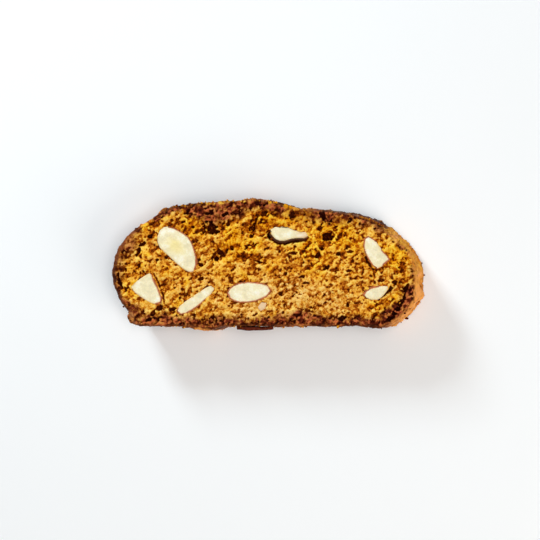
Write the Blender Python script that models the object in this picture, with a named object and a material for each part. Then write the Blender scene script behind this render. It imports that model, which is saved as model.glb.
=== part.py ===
"""Biscotti: one slice of a twice-baked almond loaf, lying on one of its two cut faces.

The baked dough is where two shapes meet: the long loaf with its domed crust, and the uneven slab that
two slanting knife cuts leave of it. The almond pieces sit in pockets, each with a hair of clearance.
X runs along the slice, +Y points at the domed crust, -Y at the flat base, +Z out of the upper cut face.
The outlines' numbers are in millimetres, and everything that is built from them is in metres.
"""

import math

import bmesh
import bpy
from mathutils import Matrix, Vector, noise

MM = 0.001

# Driving sizes
THICKNESS = 14.0 * MM  # from cut face to cut face
KNIFE_SLANT = 4.3 * MM  # how far the lower cut face sits towards +X of the upper one
POCKET_GAP = 0.3 * MM  # clearance between an almond piece and the dough
SLAB_SIZE = (124.0 * MM, 56.0 * MM)  # the slab before the loaf's outline trims it
CUT_RELIEF = 0.9 * MM  # depth of the torn crumb on the cut faces
UPPER_GRAIN = 6.0 * MM  # how far apart the lumps of the upper cut face are
UPPER_OPENNESS = 0.2  # the higher, the more of the upper cut face lies below the knife's plane
LOWER_GRAIN = 7.0 * MM
LOWER_OPENNESS = -0.05
CRUST_RELIEF = 0.35 * MM  # unevenness of the crust
CRUST_GRAIN = 8.0 * MM
REST_CENTRE = Vector((15.0, -4.0)) * MM  # middle of the flat patch that the slice lies on
REST_RADIUS = 9.0 * MM
CUT_OVERSHOOT = 1.5 * MM  # how far a cutting shape runs past the cut faces
PROFILE_SHIFT = Vector((-0.8, -0.2))  # brings the slice's box to the middle of X and Y, in millimetres

# Where in the noise each uneven face starts, so that no two are alike
UPPER_SEED = 3.0
LOWER_SEED = 11.0
CRUST_SEED = Vector((17.0, 5.0, 31.0))

# Spacing of the points, and how much of each corner is taken off
CRUST_STEP = 2.6 * MM
CRUST_LEVELS = 4
SLAB_STEP = 2.7 * MM
ALMOND_STEP = 1.9 * MM
LOAF_ROUNDING = 0.3
ALMOND_ROUNDING = 0.25

# The loaf's section at the upper cut face, clockwise seen from above: x and y of each corner, and how far
# the line to the next corner bows outwards.
LOAF_PROFILE = (
    (-46.8, -21.4, 0.0),  # foot of the block at the low end
    (-48.4, -19.3, 0.0),
    (-48.1, -16.6, 0.0),  # top of the block
    (-51.0, -14.2, 0.3),
    (-53.3, -8.6, 0.1),  # nick below the blunt end
    (-54.3, -6.4, 3.6),  # blunt end
    (-44.6, 14.2, 0.2),  # shoulder with bare crumb
    (-39.9, 16.6, 0.0),
    (-38.0, 18.6, 0.7),  # lip of the top crust
    (-24.0, 21.9, 0.1),  # dome
    (-10.0, 22.6, 0.2),
    (-7.5, 23.4, 0.3),  # crown
    (4.6, 21.7, -0.2),  # the crust breaks open here
    (8.6, 19.8, 0.3),  # and goes on here
    (26.0, 18.7, 0.3),
    (37.0, 15.6, 0.0),  # end of the lifted crust
    (38.6, 13.8, 0.6),  # shoulder
    (47.4, 6.4, 0.8),
    (51.7, -3.0, 0.1),  # rounded end
    (51.5, -11.8, 0.4),
    (46.0, -18.6, 0.5),  # heel
    (38.6, -22.3, 0.1),
    (34.5, -21.2, 0.1),  # flat base
    (-16.5, -21.2, 0.0),
    (-19.6, -22.8, 0.3),  # blob of dough that ran out under the loaf
    (-25.2, -22.6, 0.0),
    (-27.0, -21.4, 0.0),
)

# Larger holes and torn hollows in the upper cut face: x, y, radius and depth.
HOLLOWS = (
    (-20.4, 13.4, 3.0, 2.2),
    (-6.0, 12.3, 2.2, 1.4),
    (21.1, 9.9, 2.2, 1.6),
    (-17.6, 3.5, 3.0, 1.1),
    (-43.6, 6.5, 2.6, 1.2),
    (43.2, -10.4, 2.2, 1.6),
    (47.2, -9.2, 2.0, 1.5),
    (-36.0, -17.6, 2.4, 1.2),
    (34.5, 3.4, 2.0, 1.0),
)

# Almond pieces. The outline is the section at the upper cut face, clockwise, as corners with the bow of the
# line to the next one. Depth is how far down the piece goes, and None takes it through to the lower cut
# face. Lean is how far its lower end sits to the side, and end_size how large that end is.
ALMONDS = {
    "almond_large": {
        "outline": (
            (-38.7, 9.9, 0.3),
            (-37.7, 12.4, 0.4),
            (-34.9, 13.6, 0.3),
            (-31.0, 12.0, 0.1),
            (-27.9, 9.9, 0.3),
            (-25.8, 5.0, 0.2),
            (-25.1, 1.2, 0.2),
            (-26.1, -2.3, 0.3),
            (-29.3, -1.3, 0.1),
            (-33.8, 2.6, -0.1),
            (-37.7, 6.1, 0.3),
        ),
        "depth": 8.0,
        "lean": (1.6, -1.0),
        "end_size": 0.45,
    },
    "almond_middle": {
        "outline": (
            (-14.4, -9.6, 0.5),
            (-10.8, -6.5, 0.3),
            (-4.5, -6.0, 0.2),
            (0.1, -7.0, 0.2),
            (1.5, -8.9, 0.2),
            (-0.3, -11.0, 0.1),
            (-4.5, -12.6, 0.1),
            (-9.7, -13.0, 0.3),
            (-13.4, -11.6, 0.3),
        ),
        "depth": None,
        "lean": (2.4, 1.8),
        "end_size": 0.7,
    },
    "almond_wedge": {
        "outline": (
            (-48.3, -7.5, 0.0),
            (-45.0, -5.1, 0.0),
            (-41.4, -2.6, 0.1),
            (-39.8, -5.4, 0.1),
            (-38.0, -9.3, 0.2),
            (-37.0, -13.1, 0.3),
            (-39.1, -13.7, 0.2),
            (-42.6, -12.1, 0.1),
            (-46.4, -9.6, 0.1),
        ),
        "depth": None,
        "lean": (3.4, 1.2),
        "end_size": 0.75,
    },
    "almond_sliver": {
        "outline": (
            (-32.3, -15.9, 0.2),
            (-28.9, -12.8, 0.0),
            (-23.7, -9.3, 0.1),
            (-20.0, -7.0, 0.1),
            (-18.6, -8.1, 0.1),
            (-22.3, -12.1, 0.2),
            (-26.5, -15.6, 0.3),
            (-30.7, -17.3, 0.5),
        ),
        "depth": None,
        "lean": (3.6, 0.6),
        "end_size": 0.8,
    },
    "almond_upper": {
        "outline": (
            (33.7, 9.6, 0.1),
            (35.1, 10.5, 0.2),
            (37.2, 9.2, 0.0),
            (39.6, 5.7, -0.1),
            (42.9, 2.2, 0.2),
            (40.7, 0.5, 0.0),
            (38.2, -1.1, 0.2),
            (36.8, -0.2, 0.1),
            (34.7, 3.3, 0.2),
            (33.5, 6.8, 0.1),
        ),
        "depth": None,
        "lean": (2.6, -1.0),
        "end_size": 0.7,
    },
    "almond_lower": {
        "outline": (
            (33.5, -10.2, 0.2),
            (35.8, -8.1, 0.1),
            (38.9, -7.5, 0.0),
            (42.2, -7.4, 0.1),
            (40.7, -10.0, 0.1),
            (38.4, -12.1, 0.2),
            (35.8, -11.9, 0.2),
        ),
        "depth": 5.0,
        "lean": (0.8, 0.4),
        "end_size": 0.4,
    },
    "almond_crown": {
        "outline": (
            (0.8, 12.7, 0.1),
            (2.5, 13.4, 0.1),
            (7.1, 13.4, 0.1),
            (9.5, 12.0, -0.2),
            (13.4, 11.7, 0.1),
            (14.3, 10.5, 0.1),
            (12.3, 9.6, -0.1),
            (9.5, 9.8, -0.1),
            (5.7, 8.7, 0.2),
            (2.7, 9.2, 0.2),
            (1.3, 10.8, 0.0),
        ),
        "depth": None,
        "lean": (2.8, -1.6),
        "end_size": 0.75,
    },
    "almond_chip": {
        "outline": (
            (-3.6, -14.9, 0.0),
            (-2.4, -12.8, 0.1),
            (-0.3, -13.0, 0.1),
            (-0.8, -15.2, 0.0),
            (-2.7, -16.1, 0.1),
        ),
        "depth": 3.0,
        "lean": (0.2, 0.1),
        "end_size": 0.5,
    },
}

ALMOND_SINK = 0.15 * MM  # how far an almond piece's faces lie inside the cut faces
ALMOND_LEVELS = (0.3, 0.65)  # shares of its depth where an almond piece has a ring between its faces
BULGE = 0.06  # how much wider a piece is half way down
THROUGH_TAPER = 1.5  # how late a piece that goes through the slice narrows, and one that ends inside it
INSIDE_TAPER = 3.0

# Finishes: colour and roughness
BAKED_DOUGH = ((0.47, 0.20, 0.04), 0.8)
ALMOND_FLESH = ((0.84, 0.76, 0.55), 0.5)


def clear_scene():
    for old in list(bpy.data.objects):
        bpy.data.objects.remove(old, do_unlink=True)


def make_material(name, colour, roughness):
    made = bpy.data.materials.new(name)
    made.use_nodes = True
    shader = made.node_tree.nodes["Principled BSDF"]
    shader.inputs["Base Color"].default_value = (*colour, 1.0)
    shader.inputs["Roughness"].default_value = roughness
    shader.inputs["Metallic"].default_value = 0.0
    return made


def outline_points(corners, step):
    """The closed outline through the corners, in metres, each stretch bowed out as a shallow arc."""
    points = []
    for index, (x, y, bow) in enumerate(corners):
        next_x, next_y, _ = corners[(index + 1) % len(corners)]
        start = (Vector((x, y)) + PROFILE_SHIFT) * MM
        end = (Vector((next_x, next_y)) + PROFILE_SHIFT) * MM
        along = end - start
        outwards = Vector((-along.y, along.x)).normalized()
        count = max(1, round(along.length / step))
        for number in range(count):
            share = number / count
            arch = 4.0 * share * (1.0 - share)
            points.append(start + along * share + outwards * bow * MM * arch)
    return points


def rounded(points, strength):
    """Each point drawn a little towards the middle of its neighbours, which takes the point off a corner."""
    count = len(points)
    return [
        point.lerp((points[index - 1] + points[(index + 1) % count]) / 2, strength)
        for index, point in enumerate(points)
    ]


def grown(points, distance):
    """The outline moved outwards. It runs clockwise, so outwards is on its left."""
    count = len(points)
    moved = []
    for index, point in enumerate(points):
        along = points[(index + 1) % count] - points[index - 1]
        moved.append(point + Vector((-along.y, along.x)).normalized() * distance)
    return moved


def face_from(shape, points, height):
    corners = [shape.verts.new((point.x, point.y, height)) for point in points]
    return shape.faces.new(corners)


def extruded(shape, face, move, size=1.0, about=Vector((0.0, 0.0, 0.0))):
    """The face pulled along by the move and then scaled in X and Y about a point that moves with it."""
    inside = any(len(edge.link_faces) > 1 for edge in face.edges)
    pulled = bmesh.ops.extrude_face_region(shape, geom=[face])["geom"]
    if inside:
        bmesh.ops.delete(shape, geom=[face], context="FACES_ONLY")
    corners = [item for item in pulled if isinstance(item, bmesh.types.BMVert)]
    bmesh.ops.translate(shape, verts=corners, vec=move)
    bmesh.ops.scale(
        shape, verts=corners, vec=(size, size, 1.0), space=Matrix.Translation(-about - move)
    )
    return next(item for item in pulled if isinstance(item, bmesh.types.BMFace))


def add_object(name, shape, finish=None):
    """Faces that aren't flat are split into triangles first, so that the cuts through them stay clean."""
    bmesh.ops.triangulate(shape, faces=[face for face in shape.faces if len(face.verts) == 4])
    bmesh.ops.recalc_face_normals(shape, faces=shape.faces)
    mesh = bpy.data.meshes.new(name)
    shape.to_mesh(mesh)
    shape.free()
    made = bpy.data.objects.new(name, mesh)
    if finish:
        mesh.materials.append(finish)
    bpy.context.scene.collection.objects.link(made)
    return made


def add_cutter(name, shape):
    cutter = add_object(name, shape)
    cutter.hide_render = True
    cutter.display_type = "WIRE"
    return cutter


def add_boolean(target, cutter, operation):
    cut = target.modifiers.new(cutter.name, "BOOLEAN")
    cut.operation = operation
    cut.solver = "EXACT"
    cut.object = cutter


def crumb_noise(x, y, grain, seed):
    """Smooth unevenness from about -1 to 1: lumps one grain apart, with smaller ones on them."""
    roughness, lacunarity, octaves = 1.0, 2.0, 2
    return noise.fractal(Vector((x / grain, y / grain, seed)), roughness, lacunarity, octaves)


def crust_sway(place):
    """How far the crust strays sideways from the loaf's even shape."""
    spot = place / CRUST_GRAIN
    return Vector((noise.noise(spot), noise.noise(spot + CRUST_SEED), 0.0)) * CRUST_RELIEF


def upper_dip(x, y):
    """How far the upper cut face lies below the knife's plane."""
    dip = CUT_RELIEF * max(0.0, crumb_noise(x, y, UPPER_GRAIN, UPPER_SEED) + UPPER_OPENNESS)
    for hollow_x, hollow_y, radius, depth in HOLLOWS:
        centre = (Vector((hollow_x, hollow_y)) + PROFILE_SHIFT) * MM
        away = (Vector((x, y)) - centre).length / (radius * MM)
        dip += depth * MM * math.exp(-(away**2))
    return dip


def lower_dip(x, y):
    """How far the lower cut face lies above the plane that it rests on."""
    away = (Vector((x, y)) - REST_CENTRE).length
    clear = min(1.0, max(0.0, away / REST_RADIUS - 1.0))
    torn = max(0.0, crumb_noise(x, y, LOWER_GRAIN, LOWER_SEED) + LOWER_OPENNESS)
    return CUT_RELIEF * clear * torn


def build_slab(finish):
    shape = bmesh.new()
    length, width = SLAB_SIZE
    bmesh.ops.create_grid(
        shape,
        x_segments=round(length / SLAB_STEP),
        y_segments=round(width / SLAB_STEP),
        size=0.5,
        matrix=Matrix.Diagonal((length, width, 1.0, 1.0)),
    )
    pulled = bmesh.ops.extrude_face_region(shape, geom=list(shape.faces))["geom"]
    upper = [item for item in pulled if isinstance(item, bmesh.types.BMVert)]
    bmesh.ops.translate(shape, verts=upper, vec=(0.0, 0.0, THICKNESS))
    for corner in shape.verts:
        x, y, z = corner.co
        corner.co.z = THICKNESS - upper_dip(x, y) if z > THICKNESS / 2 else lower_dip(x, y)
    return add_object("dough", shape, finish)


def build_loaf():
    """The loaf that the slice is cut from, running down and towards +X past both cut faces."""
    shape = bmesh.new()
    slope = KNIFE_SLANT / THICKNESS
    height = THICKNESS + 2 * CUT_OVERSHOOT
    section = rounded(outline_points(LOAF_PROFILE, CRUST_STEP), LOAF_ROUNDING)
    start = Vector((-slope * CUT_OVERSHOOT, 0.0))
    face = face_from(shape, [point + start for point in section], THICKNESS + CUT_OVERSHOOT)
    level = Vector((slope, 0.0, -1.0)) * height / CRUST_LEVELS
    for _ in range(CRUST_LEVELS):
        face = extruded(shape, face, level)
    for corner in shape.verts:
        corner.co += crust_sway(corner.co)
    return add_cutter("loaf", shape)


def almond_width(almond, share):
    """How wide an almond piece is at a share of its depth, where its upper face is 1."""
    inside = min(1.0, max(0.0, share))
    taper = THROUGH_TAPER if almond["depth"] is None else INSIDE_TAPER
    narrowing = (1.0 - almond["end_size"]) * inside**taper
    return 1.0 - narrowing + BULGE * math.sin(math.pi * inside)


def almond_shape(almond, gap):
    """An almond piece, or with a gap the pocket for it, centred on its section. Returns it and its place.

    A pocket runs on past each cut face that the piece shows at, so that it cuts cleanly through it."""
    section = rounded(outline_points(almond["outline"], ALMOND_STEP), ALMOND_ROUNDING)
    centre = sum(section, Vector((0.0, 0.0))) / len(section)
    section = grown([point - centre for point in section], gap)
    radius = sum(point.length for point in section) / len(section)
    through = almond["depth"] is None
    depth = THICKNESS - 2 * ALMOND_SINK if through else almond["depth"] * MM
    past_face = CUT_OVERSHOOT / depth if gap else 0.0
    past_end = past_face if through else gap / depth
    run = Vector((almond["lean"][0] * MM, almond["lean"][1] * MM, -depth))

    shape = bmesh.new()
    reached, width = -past_face, 1.0
    about = Vector((0.0, 0.0, THICKNESS - ALMOND_SINK)) + run * reached
    face = face_from(shape, [point + about.xy for point in section], about.z)
    for share in (*ALMOND_LEVELS, 1.0 + past_end):
        wanted = almond_width(almond, share)
        wanted += gap * (1.0 - wanted) / radius
        move = run * (share - reached)
        face = extruded(shape, face, move, wanted / width, about)
        about += move
        reached, width = share, wanted
    return shape, centre


def build_almond(name, almond, finish, dough):
    shape, centre = almond_shape(almond, 0.0)
    piece = add_object(name, shape, finish)
    piece.location = (centre.x, centre.y, 0.0)
    shape, centre = almond_shape(almond, POCKET_GAP)
    pocket = add_cutter(f"{name}_pocket", shape)
    pocket.location = (centre.x, centre.y, 0.0)
    add_boolean(dough, pocket, "DIFFERENCE")


def main():
    clear_scene()
    dough = build_slab(make_material("baked_dough", *BAKED_DOUGH))
    add_boolean(dough, build_loaf(), "INTERSECT")
    for name, almond in ALMONDS.items():
        build_almond(name, almond, make_material(f"{name}_flesh", *ALMOND_FLESH), dough)


main()
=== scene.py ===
"""Looks of an almond biscotti slice: torn crumb, baked crust, almond pieces with skins, flakes and crumbs.

Lengths are in millimetres in the tables and on the grids of the cut faces, and in metres in every mesh.
X runs along the slice, +Y points at the domed crust, -Y at the flat base and +Z out of the upper cut face.
"""

import itertools
import math

import bmesh
import bpy
import numpy as np
from mathutils import Matrix, Vector, kdtree
from mathutils.bvhtree import BVHTree


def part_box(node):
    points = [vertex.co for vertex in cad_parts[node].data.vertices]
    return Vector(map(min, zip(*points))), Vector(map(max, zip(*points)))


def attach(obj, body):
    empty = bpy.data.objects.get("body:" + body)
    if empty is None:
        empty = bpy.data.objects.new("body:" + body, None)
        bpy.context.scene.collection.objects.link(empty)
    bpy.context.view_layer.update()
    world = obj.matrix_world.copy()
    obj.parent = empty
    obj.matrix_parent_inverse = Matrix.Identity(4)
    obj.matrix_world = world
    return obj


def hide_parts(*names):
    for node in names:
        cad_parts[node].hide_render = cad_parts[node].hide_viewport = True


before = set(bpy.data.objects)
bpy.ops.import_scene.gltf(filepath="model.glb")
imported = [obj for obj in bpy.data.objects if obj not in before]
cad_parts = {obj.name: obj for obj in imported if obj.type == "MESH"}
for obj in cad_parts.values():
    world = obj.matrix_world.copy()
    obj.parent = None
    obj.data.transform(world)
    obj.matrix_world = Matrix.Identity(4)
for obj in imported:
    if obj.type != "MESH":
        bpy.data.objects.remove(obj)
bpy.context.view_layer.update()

bl_info = {
    "name": "Biscotti slice",
    "version": (1, 0, 0),
    "blender": (4, 5, 0),
    "location": "3D View > Sidebar > Biscotti",
    "description": "Builds the looks of one almond biscotti slice round its solid model",
    "category": "Object",
}

MM = 0.001
THICKNESS = 14.0
HIGHEST = THICKNESS + 0.3  # the highest that dough, almond and skin reach
MERGE = 0.002 * MM  # points of a solid nearer to each other than this are one point
POCKET_REACH = 0.7  # dough nearer to an almond piece than this belongs to its pocket
SLANT = 4.3  # how far the lower cut face sits towards +X of the upper one
REST_CENTRE = (15.0, -4.0)  # the flat patch that the slice lies on
REST_RADIUS = 9.0
UPPER_RING = (11.6, 13.6)  # the stretch of the wall that gives the upper cut face its outline
LOWER_RING = (0.4, 2.4)
ALMONDS = (
    "almond_large",
    "almond_middle",
    "almond_wedge",
    "almond_sliver",
    "almond_upper",
    "almond_lower",
    "almond_crown",
    "almond_chip",
)
# The crown piece's skin is near black: partly its own dark skin, partly painted shade of the crevice that it
# stands in
DARK_SKIN_AND_SHADE = "almond_crown"
BROWNED = "almond_chip"

# Grid of a cut face
GRID_STEP = 0.1
STREAKS = (0.12, 0.5)  # the two ways that the knife dragged the crumb, in radians from +X
PORE_LAYERS = 12  # how many times, and how far down each time, the crumb is looked for
PORE_STEP = 0.17
GRID_LOW = (-58.0, -26.0)
GRID_COUNT = (1161, 521)
GRID_X = GRID_LOW[0] + GRID_STEP * np.arange(GRID_COUNT[0])
GRID_Y = GRID_LOW[1] + GRID_STEP * np.arange(GRID_COUNT[1])
GRID_PLACES = np.stack(np.meshgrid(GRID_X, GRID_Y, indexing="ij"), axis=-1)

# How far the oven browned the crumb inwards from the rim: x, y, width of the band and its strength
RIM_BROWNING = (
    (-54.0, 2.0, 3.4, 0.5),
    (-54.5, -3.0, 3.6, 0.56),
    (-51.0, 8.0, 5.2, 0.66),
    (-47.5, 12.5, 2.6, 0.66),
    (-43.5, 14.6, 0.3, 0.1),
    (-38.6, 17.0, 1.3, 0.9),
    (-32.0, 19.6, 2.0, 0.95),
    (-27.0, 20.6, 4.2, 1.0),
    (-23.5, 21.2, 9.6, 1.0),
    (-19.0, 21.6, 9.2, 1.0),
    (-14.0, 22.2, 6.4, 0.95),
    (-8.0, 22.5, 4.6, 0.85),
    (-3.0, 22.8, 4.0, 0.8),
    (2.5, 22.0, 3.6, 0.85),
    (8.5, 19.6, 3.8, 0.42),
    (13.0, 19.4, 4.0, 0.5),
    (18.0, 18.6, 5.0, 0.85),
    (26.0, 17.8, 4.4, 0.7),
    (33.0, 16.2, 2.4, 0.7),
    (38.0, 13.6, 0.9, 0.6),
    (43.0, 10.2, 1.0, 0.4),
    (47.0, 5.8, 1.1, 0.7),
    (49.0, 2.6, 0.6, 0.2),
    (50.5, -3.0, 1.8, 0.5),
    (48.0, -12.0, 4.4, 0.9),
    (43.0, -18.0, 6.2, 1.0),
    (36.0, -21.4, 4.0, 1.0),
    (30.0, -21.4, 3.0, 0.9),
    (23.0, -21.4, 4.2, 0.95),
    (11.0, -21.4, 5.6, 0.95),
    (2.0, -21.4, 3.8, 0.9),
    (-7.0, -21.4, 3.0, 0.85),
    (-18.0, -22.0, 3.8, 0.8),
    (-30.0, -21.6, 3.8, 0.85),
    (-41.0, -20.6, 4.2, 0.85),
    (-48.6, -18.0, 3.0, 0.75),
    (-51.5, -12.5, 1.8, 0.66),
)

# Holes in the upper cut face: x, y, half length, half width, turn in degrees and depth, which also sets how
# dark the painted shade inside the hole is
UPPER_HOLES = (
    (-20.5, 13.0, 3.0, 1.8, -35.0, 3.4),
    (-6.3, 13.2, 1.5, 1.2, 60.0, 1.6),
    (-6.6, 10.1, 1.0, 0.7, 20.0, 2.0),
    (-18.2, 3.5, 2.2, 2.0, 50.0, 1.5),
    (-18.8, 2.0, 0.9, 0.6, 20.0, 1.6),
    (-24.1, 0.0, 0.9, 0.7, -40.0, 1.8),
    (-25.2, 1.6, 0.6, 0.4, 60.0, 1.4),
    (-27.4, 8.0, 0.6, 0.5, 0.0, 1.5),
    (-42.2, 9.9, 0.9, 0.8, 30.0, 2.0),
    (-44.6, 7.3, 1.6, 0.7, 28.0, 2.0),
    (-46.1, 4.7, 1.8, 0.8, 66.0, 2.2),
    (-39.5, 1.7, 0.7, 0.6, 0.0, 1.5),
    (-24.5, -4.9, 1.2, 0.7, 15.0, 1.8),
    (-13.3, 5.9, 0.5, 1.0, 20.0, 1.5),
    (-3.8, 1.0, 1.6, 0.5, -12.0, 1.5),
    (-0.4, 10.2, 0.7, 1.1, 0.0, 1.9),
    (-38.8, -15.1, 1.5, 1.1, 40.0, 1.7),
    (-41.0, -16.8, 1.3, 0.8, 60.0, 1.8),
    (-42.4, -19.2, 1.5, 0.7, 20.0, 1.6),
    (-34.3, -15.6, 1.2, 0.8, 30.0, 1.8),
    (-26.9, 13.2, 0.6, 0.5, 0.0, 1.4),
    (-30.5, 15.0, 0.8, 0.5, 20.0, 1.3),
    (20.3, 9.8, 2.0, 1.5, 15.0, 3.0),
    (8.0, 4.1, 1.6, 0.6, 5.0, 1.6),
    (16.6, 3.2, 1.5, 0.9, 35.0, 1.8),
    (18.2, 5.6, 0.8, 0.6, 0.0, 1.6),
    (24.0, 3.8, 0.8, 0.7, 0.0, 1.8),
    (28.0, 4.6, 1.2, 0.7, 10.0, 1.5),
    (19.9, -1.0, 1.3, 0.7, 40.0, 1.7),
    (27.6, -2.1, 1.0, 0.5, 10.0, 1.5),
    (35.3, -3.9, 0.6, 0.5, 0.0, 1.5),
    (5.6, -2.9, 0.9, 0.7, 0.0, 1.3),
    (11.2, -4.2, 1.2, 0.5, 10.0, 1.3),
    (12.4, -6.3, 1.1, 0.5, 10.0, 1.2),
    (21.0, -7.4, 1.2, 0.7, 10.0, 1.1),
    (3.8, -10.2, 1.4, 0.6, -8.0, 1.1),
    (27.3, -14.0, 0.6, 0.8, 0.0, 1.5),
    (46.6, -1.2, 1.5, 2.7, 5.0, 0.8),
    (38.8, -5.3, 1.4, 0.8, 0.0, 1.2),
    (43.7, -6.3, 1.0, 0.8, 0.0, 1.7),
    (45.0, -15.4, 1.0, 0.7, 40.0, 1.6),
    (41.8, -19.0, 1.2, 0.8, 40.0, 1.5),
    (43.6, -17.2, 0.8, 0.6, 0.0, 1.5),
    (25.2, -18.6, 1.5, 0.9, 20.0, 1.7),
    (-36.4, 2.4, 0.7, 0.5, -50.0, 1.2),
    (-33.2, 0.0, 0.6, 0.5, -40.0, 1.2),
    (18.4, 17.4, 1.0, 1.7, 20.0, 1.6),
    (-29.5, 18.0, 1.2, 0.5, 20.0, 1.3),
    (-22.0, 18.0, 0.9, 0.7, 0.0, 1.5),
    (-16.0, 17.6, 1.4, 0.7, 20.0, 1.5),
)

# Crevices in the upper cut face: the points of the line, half width and depth; each crevice is filled with
# painted shade
UPPER_CREVICES = (
    (((-53.2, -3.6), (-52.9, -6.0), (-52.0, -8.2)), 0.8, 1.7),
    (
        ((-0.5, 11.6), (-0.4, 10.4), (0.9, 8.6), (3.0, 7.8))
        + ((5.2, 7.6), (8.4, 8.4), (11.0, 8.6), (13.0, 9.4)),
        0.8,
        2.2,
    ),
    (((42.6, -8.2), (40.6, -9.9), (38.2, -11.9)), 0.8, 2.2),
    (((48.2, -7.0), (47.6, -9.4), (46.8, -12.4), (45.4, -14.2)), 0.75, 2.0),
    (((48.4, 7.4), (49.6, 4.6), (50.2, 1.2)), 0.45, 1.3),
    (((33.6, 2.6), (34.4, 0.6), (36.2, -1.6)), 0.6, 1.6),
    (((-40.6, -3.2), (-39.0, -6.6), (-37.4, -10.6), (-37.0, -13.6)), 0.4, 0.7),
)

# Places of coarse torn crumb and of fine crumb: x, y, reach, how coarse, how golden and how light
COARSENESS = (
    (-10.0, 8.0, 13.0, 1.0, 0.5, -0.02),
    (-26.0, 12.0, 8.0, 0.4, 0.3, -0.03),
    (14.0, 5.0, 11.0, 0.6, 0.4, 0.0),
    (27.0, 7.0, 9.0, 0.3, 0.4, 0.02),
    (-44.0, 6.0, 6.0, 0.3, 0.1, -0.03),
    (-52.0, 3.0, 5.0, -0.8, -0.2, -0.05),
    (-20.0, -8.0, 9.0, -0.1, -0.3, 0.0),
    (-32.0, 10.0, 8.0, 0.2, 0.1, -0.02),
    (8.0, -9.0, 12.0, -0.8, -0.6, 0.0),
    (20.0, -13.0, 12.0, -0.9, -0.4, 0.0),
    (-8.0, -16.0, 9.0, -0.5, -0.6, 0.0),
    (43.0, 3.0, 9.0, 0.0, 0.7, 0.06),
    (42.0, -13.0, 6.0, 0.3, 0.6, 0.0),
    (-38.0, -10.0, 7.0, 0.2, 0.0, 0.0),
    (-46.0, 14.0, 6.0, 0.3, 0.6, 0.0),
    (-2.0, 17.0, 9.0, 0.5, 0.5, -0.08),
    (24.0, 14.0, 8.0, 0.0, 0.7, 0.0),
    (10.5, 18.0, 6.0, 0.4, 0.8, -0.2),
    (44.0, -17.0, 5.0, 0.3, 0.1, -0.1),
    (15.0, -2.0, 9.0, 0.0, 0.2, -0.02),
    (20.0, 11.5, 4.5, 0.0, 0.2, -0.18),
    (-13.0, 10.5, 4.0, 0.0, 0.2, -0.22),
    (-42.6, 10.4, 3.6, 0.1, 0.1, -0.18),
    (-27.0, 16.5, 5.0, 0.0, 0.3, 0.04),
)

# Raised golden clumps of crumb: x, y, half length, half width, turn in degrees and rise
CLUMPS = (
    (-5.3, 4.8, 2.4, 1.6, 10.0, 0.5),
    (-15.4, 11.8, 2.8, 1.0, 38.0, 0.2),
    (-42.7, 3.6, 1.4, 1.2, 40.0, 0.4),
    (-47.6, -6.2, 1.7, 1.0, 20.0, 0.5),
    (-35.6, 16.6, 2.6, 1.0, 25.0, 0.3),
    (-43.6, 14.0, 2.8, 0.9, 28.0, 0.2),
    (12.3, 13.0, 0.9, 0.7, 0.0, 0.9),
    (6.0, 18.4, 1.8, 1.2, 30.0, 0.4),
    (12.0, 18.4, 2.0, 1.1, 10.0, 0.4),
    (20.0, 12.4, 2.6, 1.0, 35.0, 0.4),
    (43.0, 5.6, 2.4, 1.6, -50.0, 0.4),
    (35.0, -14.0, 2.2, 1.4, 20.0, 0.3),
    (44.0, -11.0, 1.6, 1.0, 50.0, 0.4),
    (-23.0, 20.4, 1.0, 0.6, 0.0, 0.3),
    (26.4, 8.6, 2.0, 1.2, 0.0, 0.3),
    (0.0, -1.6, 2.4, 1.0, 20.0, 0.2),
    (-29.0, -6.0, 2.2, 1.2, 30.0, 0.2),
)

# Patches of the crust wall, by their place at the upper rim: x, y, reach and how strong
BARE_PATCHES = (
    (-43.0, 15.0, 4.6, 1.0),
    (-38.8, 17.0, 2.0, 0.7),
    (7.6, 19.8, 3.6, 0.95),
    (13.0, 19.2, 2.6, 0.6),
    (40.6, 12.6, 3.0, 0.8),
    (46.6, 7.0, 5.4, 1.0),
    (50.0, 0.6, 4.6, 0.9),
    (50.4, -6.0, 2.0, 0.6),
)
# Painted sheen: where the crust is painted towards a pale greyish colour, a painted highlight of its gloss
PAINTED_SHEEN_PATCHES = (
    (19.0, 19.2, 5.0, 1.0),
    (27.0, 18.2, 5.5, 1.0),
    (34.0, 16.4, 4.0, 0.8),
    (-50.0, -19.4, 4.0, 0.4),
)
GOLDEN_RIM = (
    (-9.0, 22.8, 6.0, 1.0),
    (-2.0, 22.9, 5.0, 1.0),
    (-19.0, 22.2, 5.5, 0.8),
    (-28.0, 20.8, 5.0, 0.5),
)
PALE_PATCHES = (
    (-24.2, -23.0, 3.4, 1.0),
    (-49.0, -17.5, 2.6, 0.7),
    (-5.0, 22.8, 4.0, 0.3),
)
DARK_PATCHES = (
    (-30.0, 20.4, 7.0, 0.3),
    (24.0, 18.4, 8.0, 0.3),
    (34.0, 16.6, 5.0, 0.2),
    (-54.4, -4.0, 7.0, 0.2),
    (30.0, -21.6, 9.0, 0.25),
    (50.2, 5.6, 2.6, 0.7),
    (43.6, 11.6, 1.8, 0.5),
)

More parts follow.
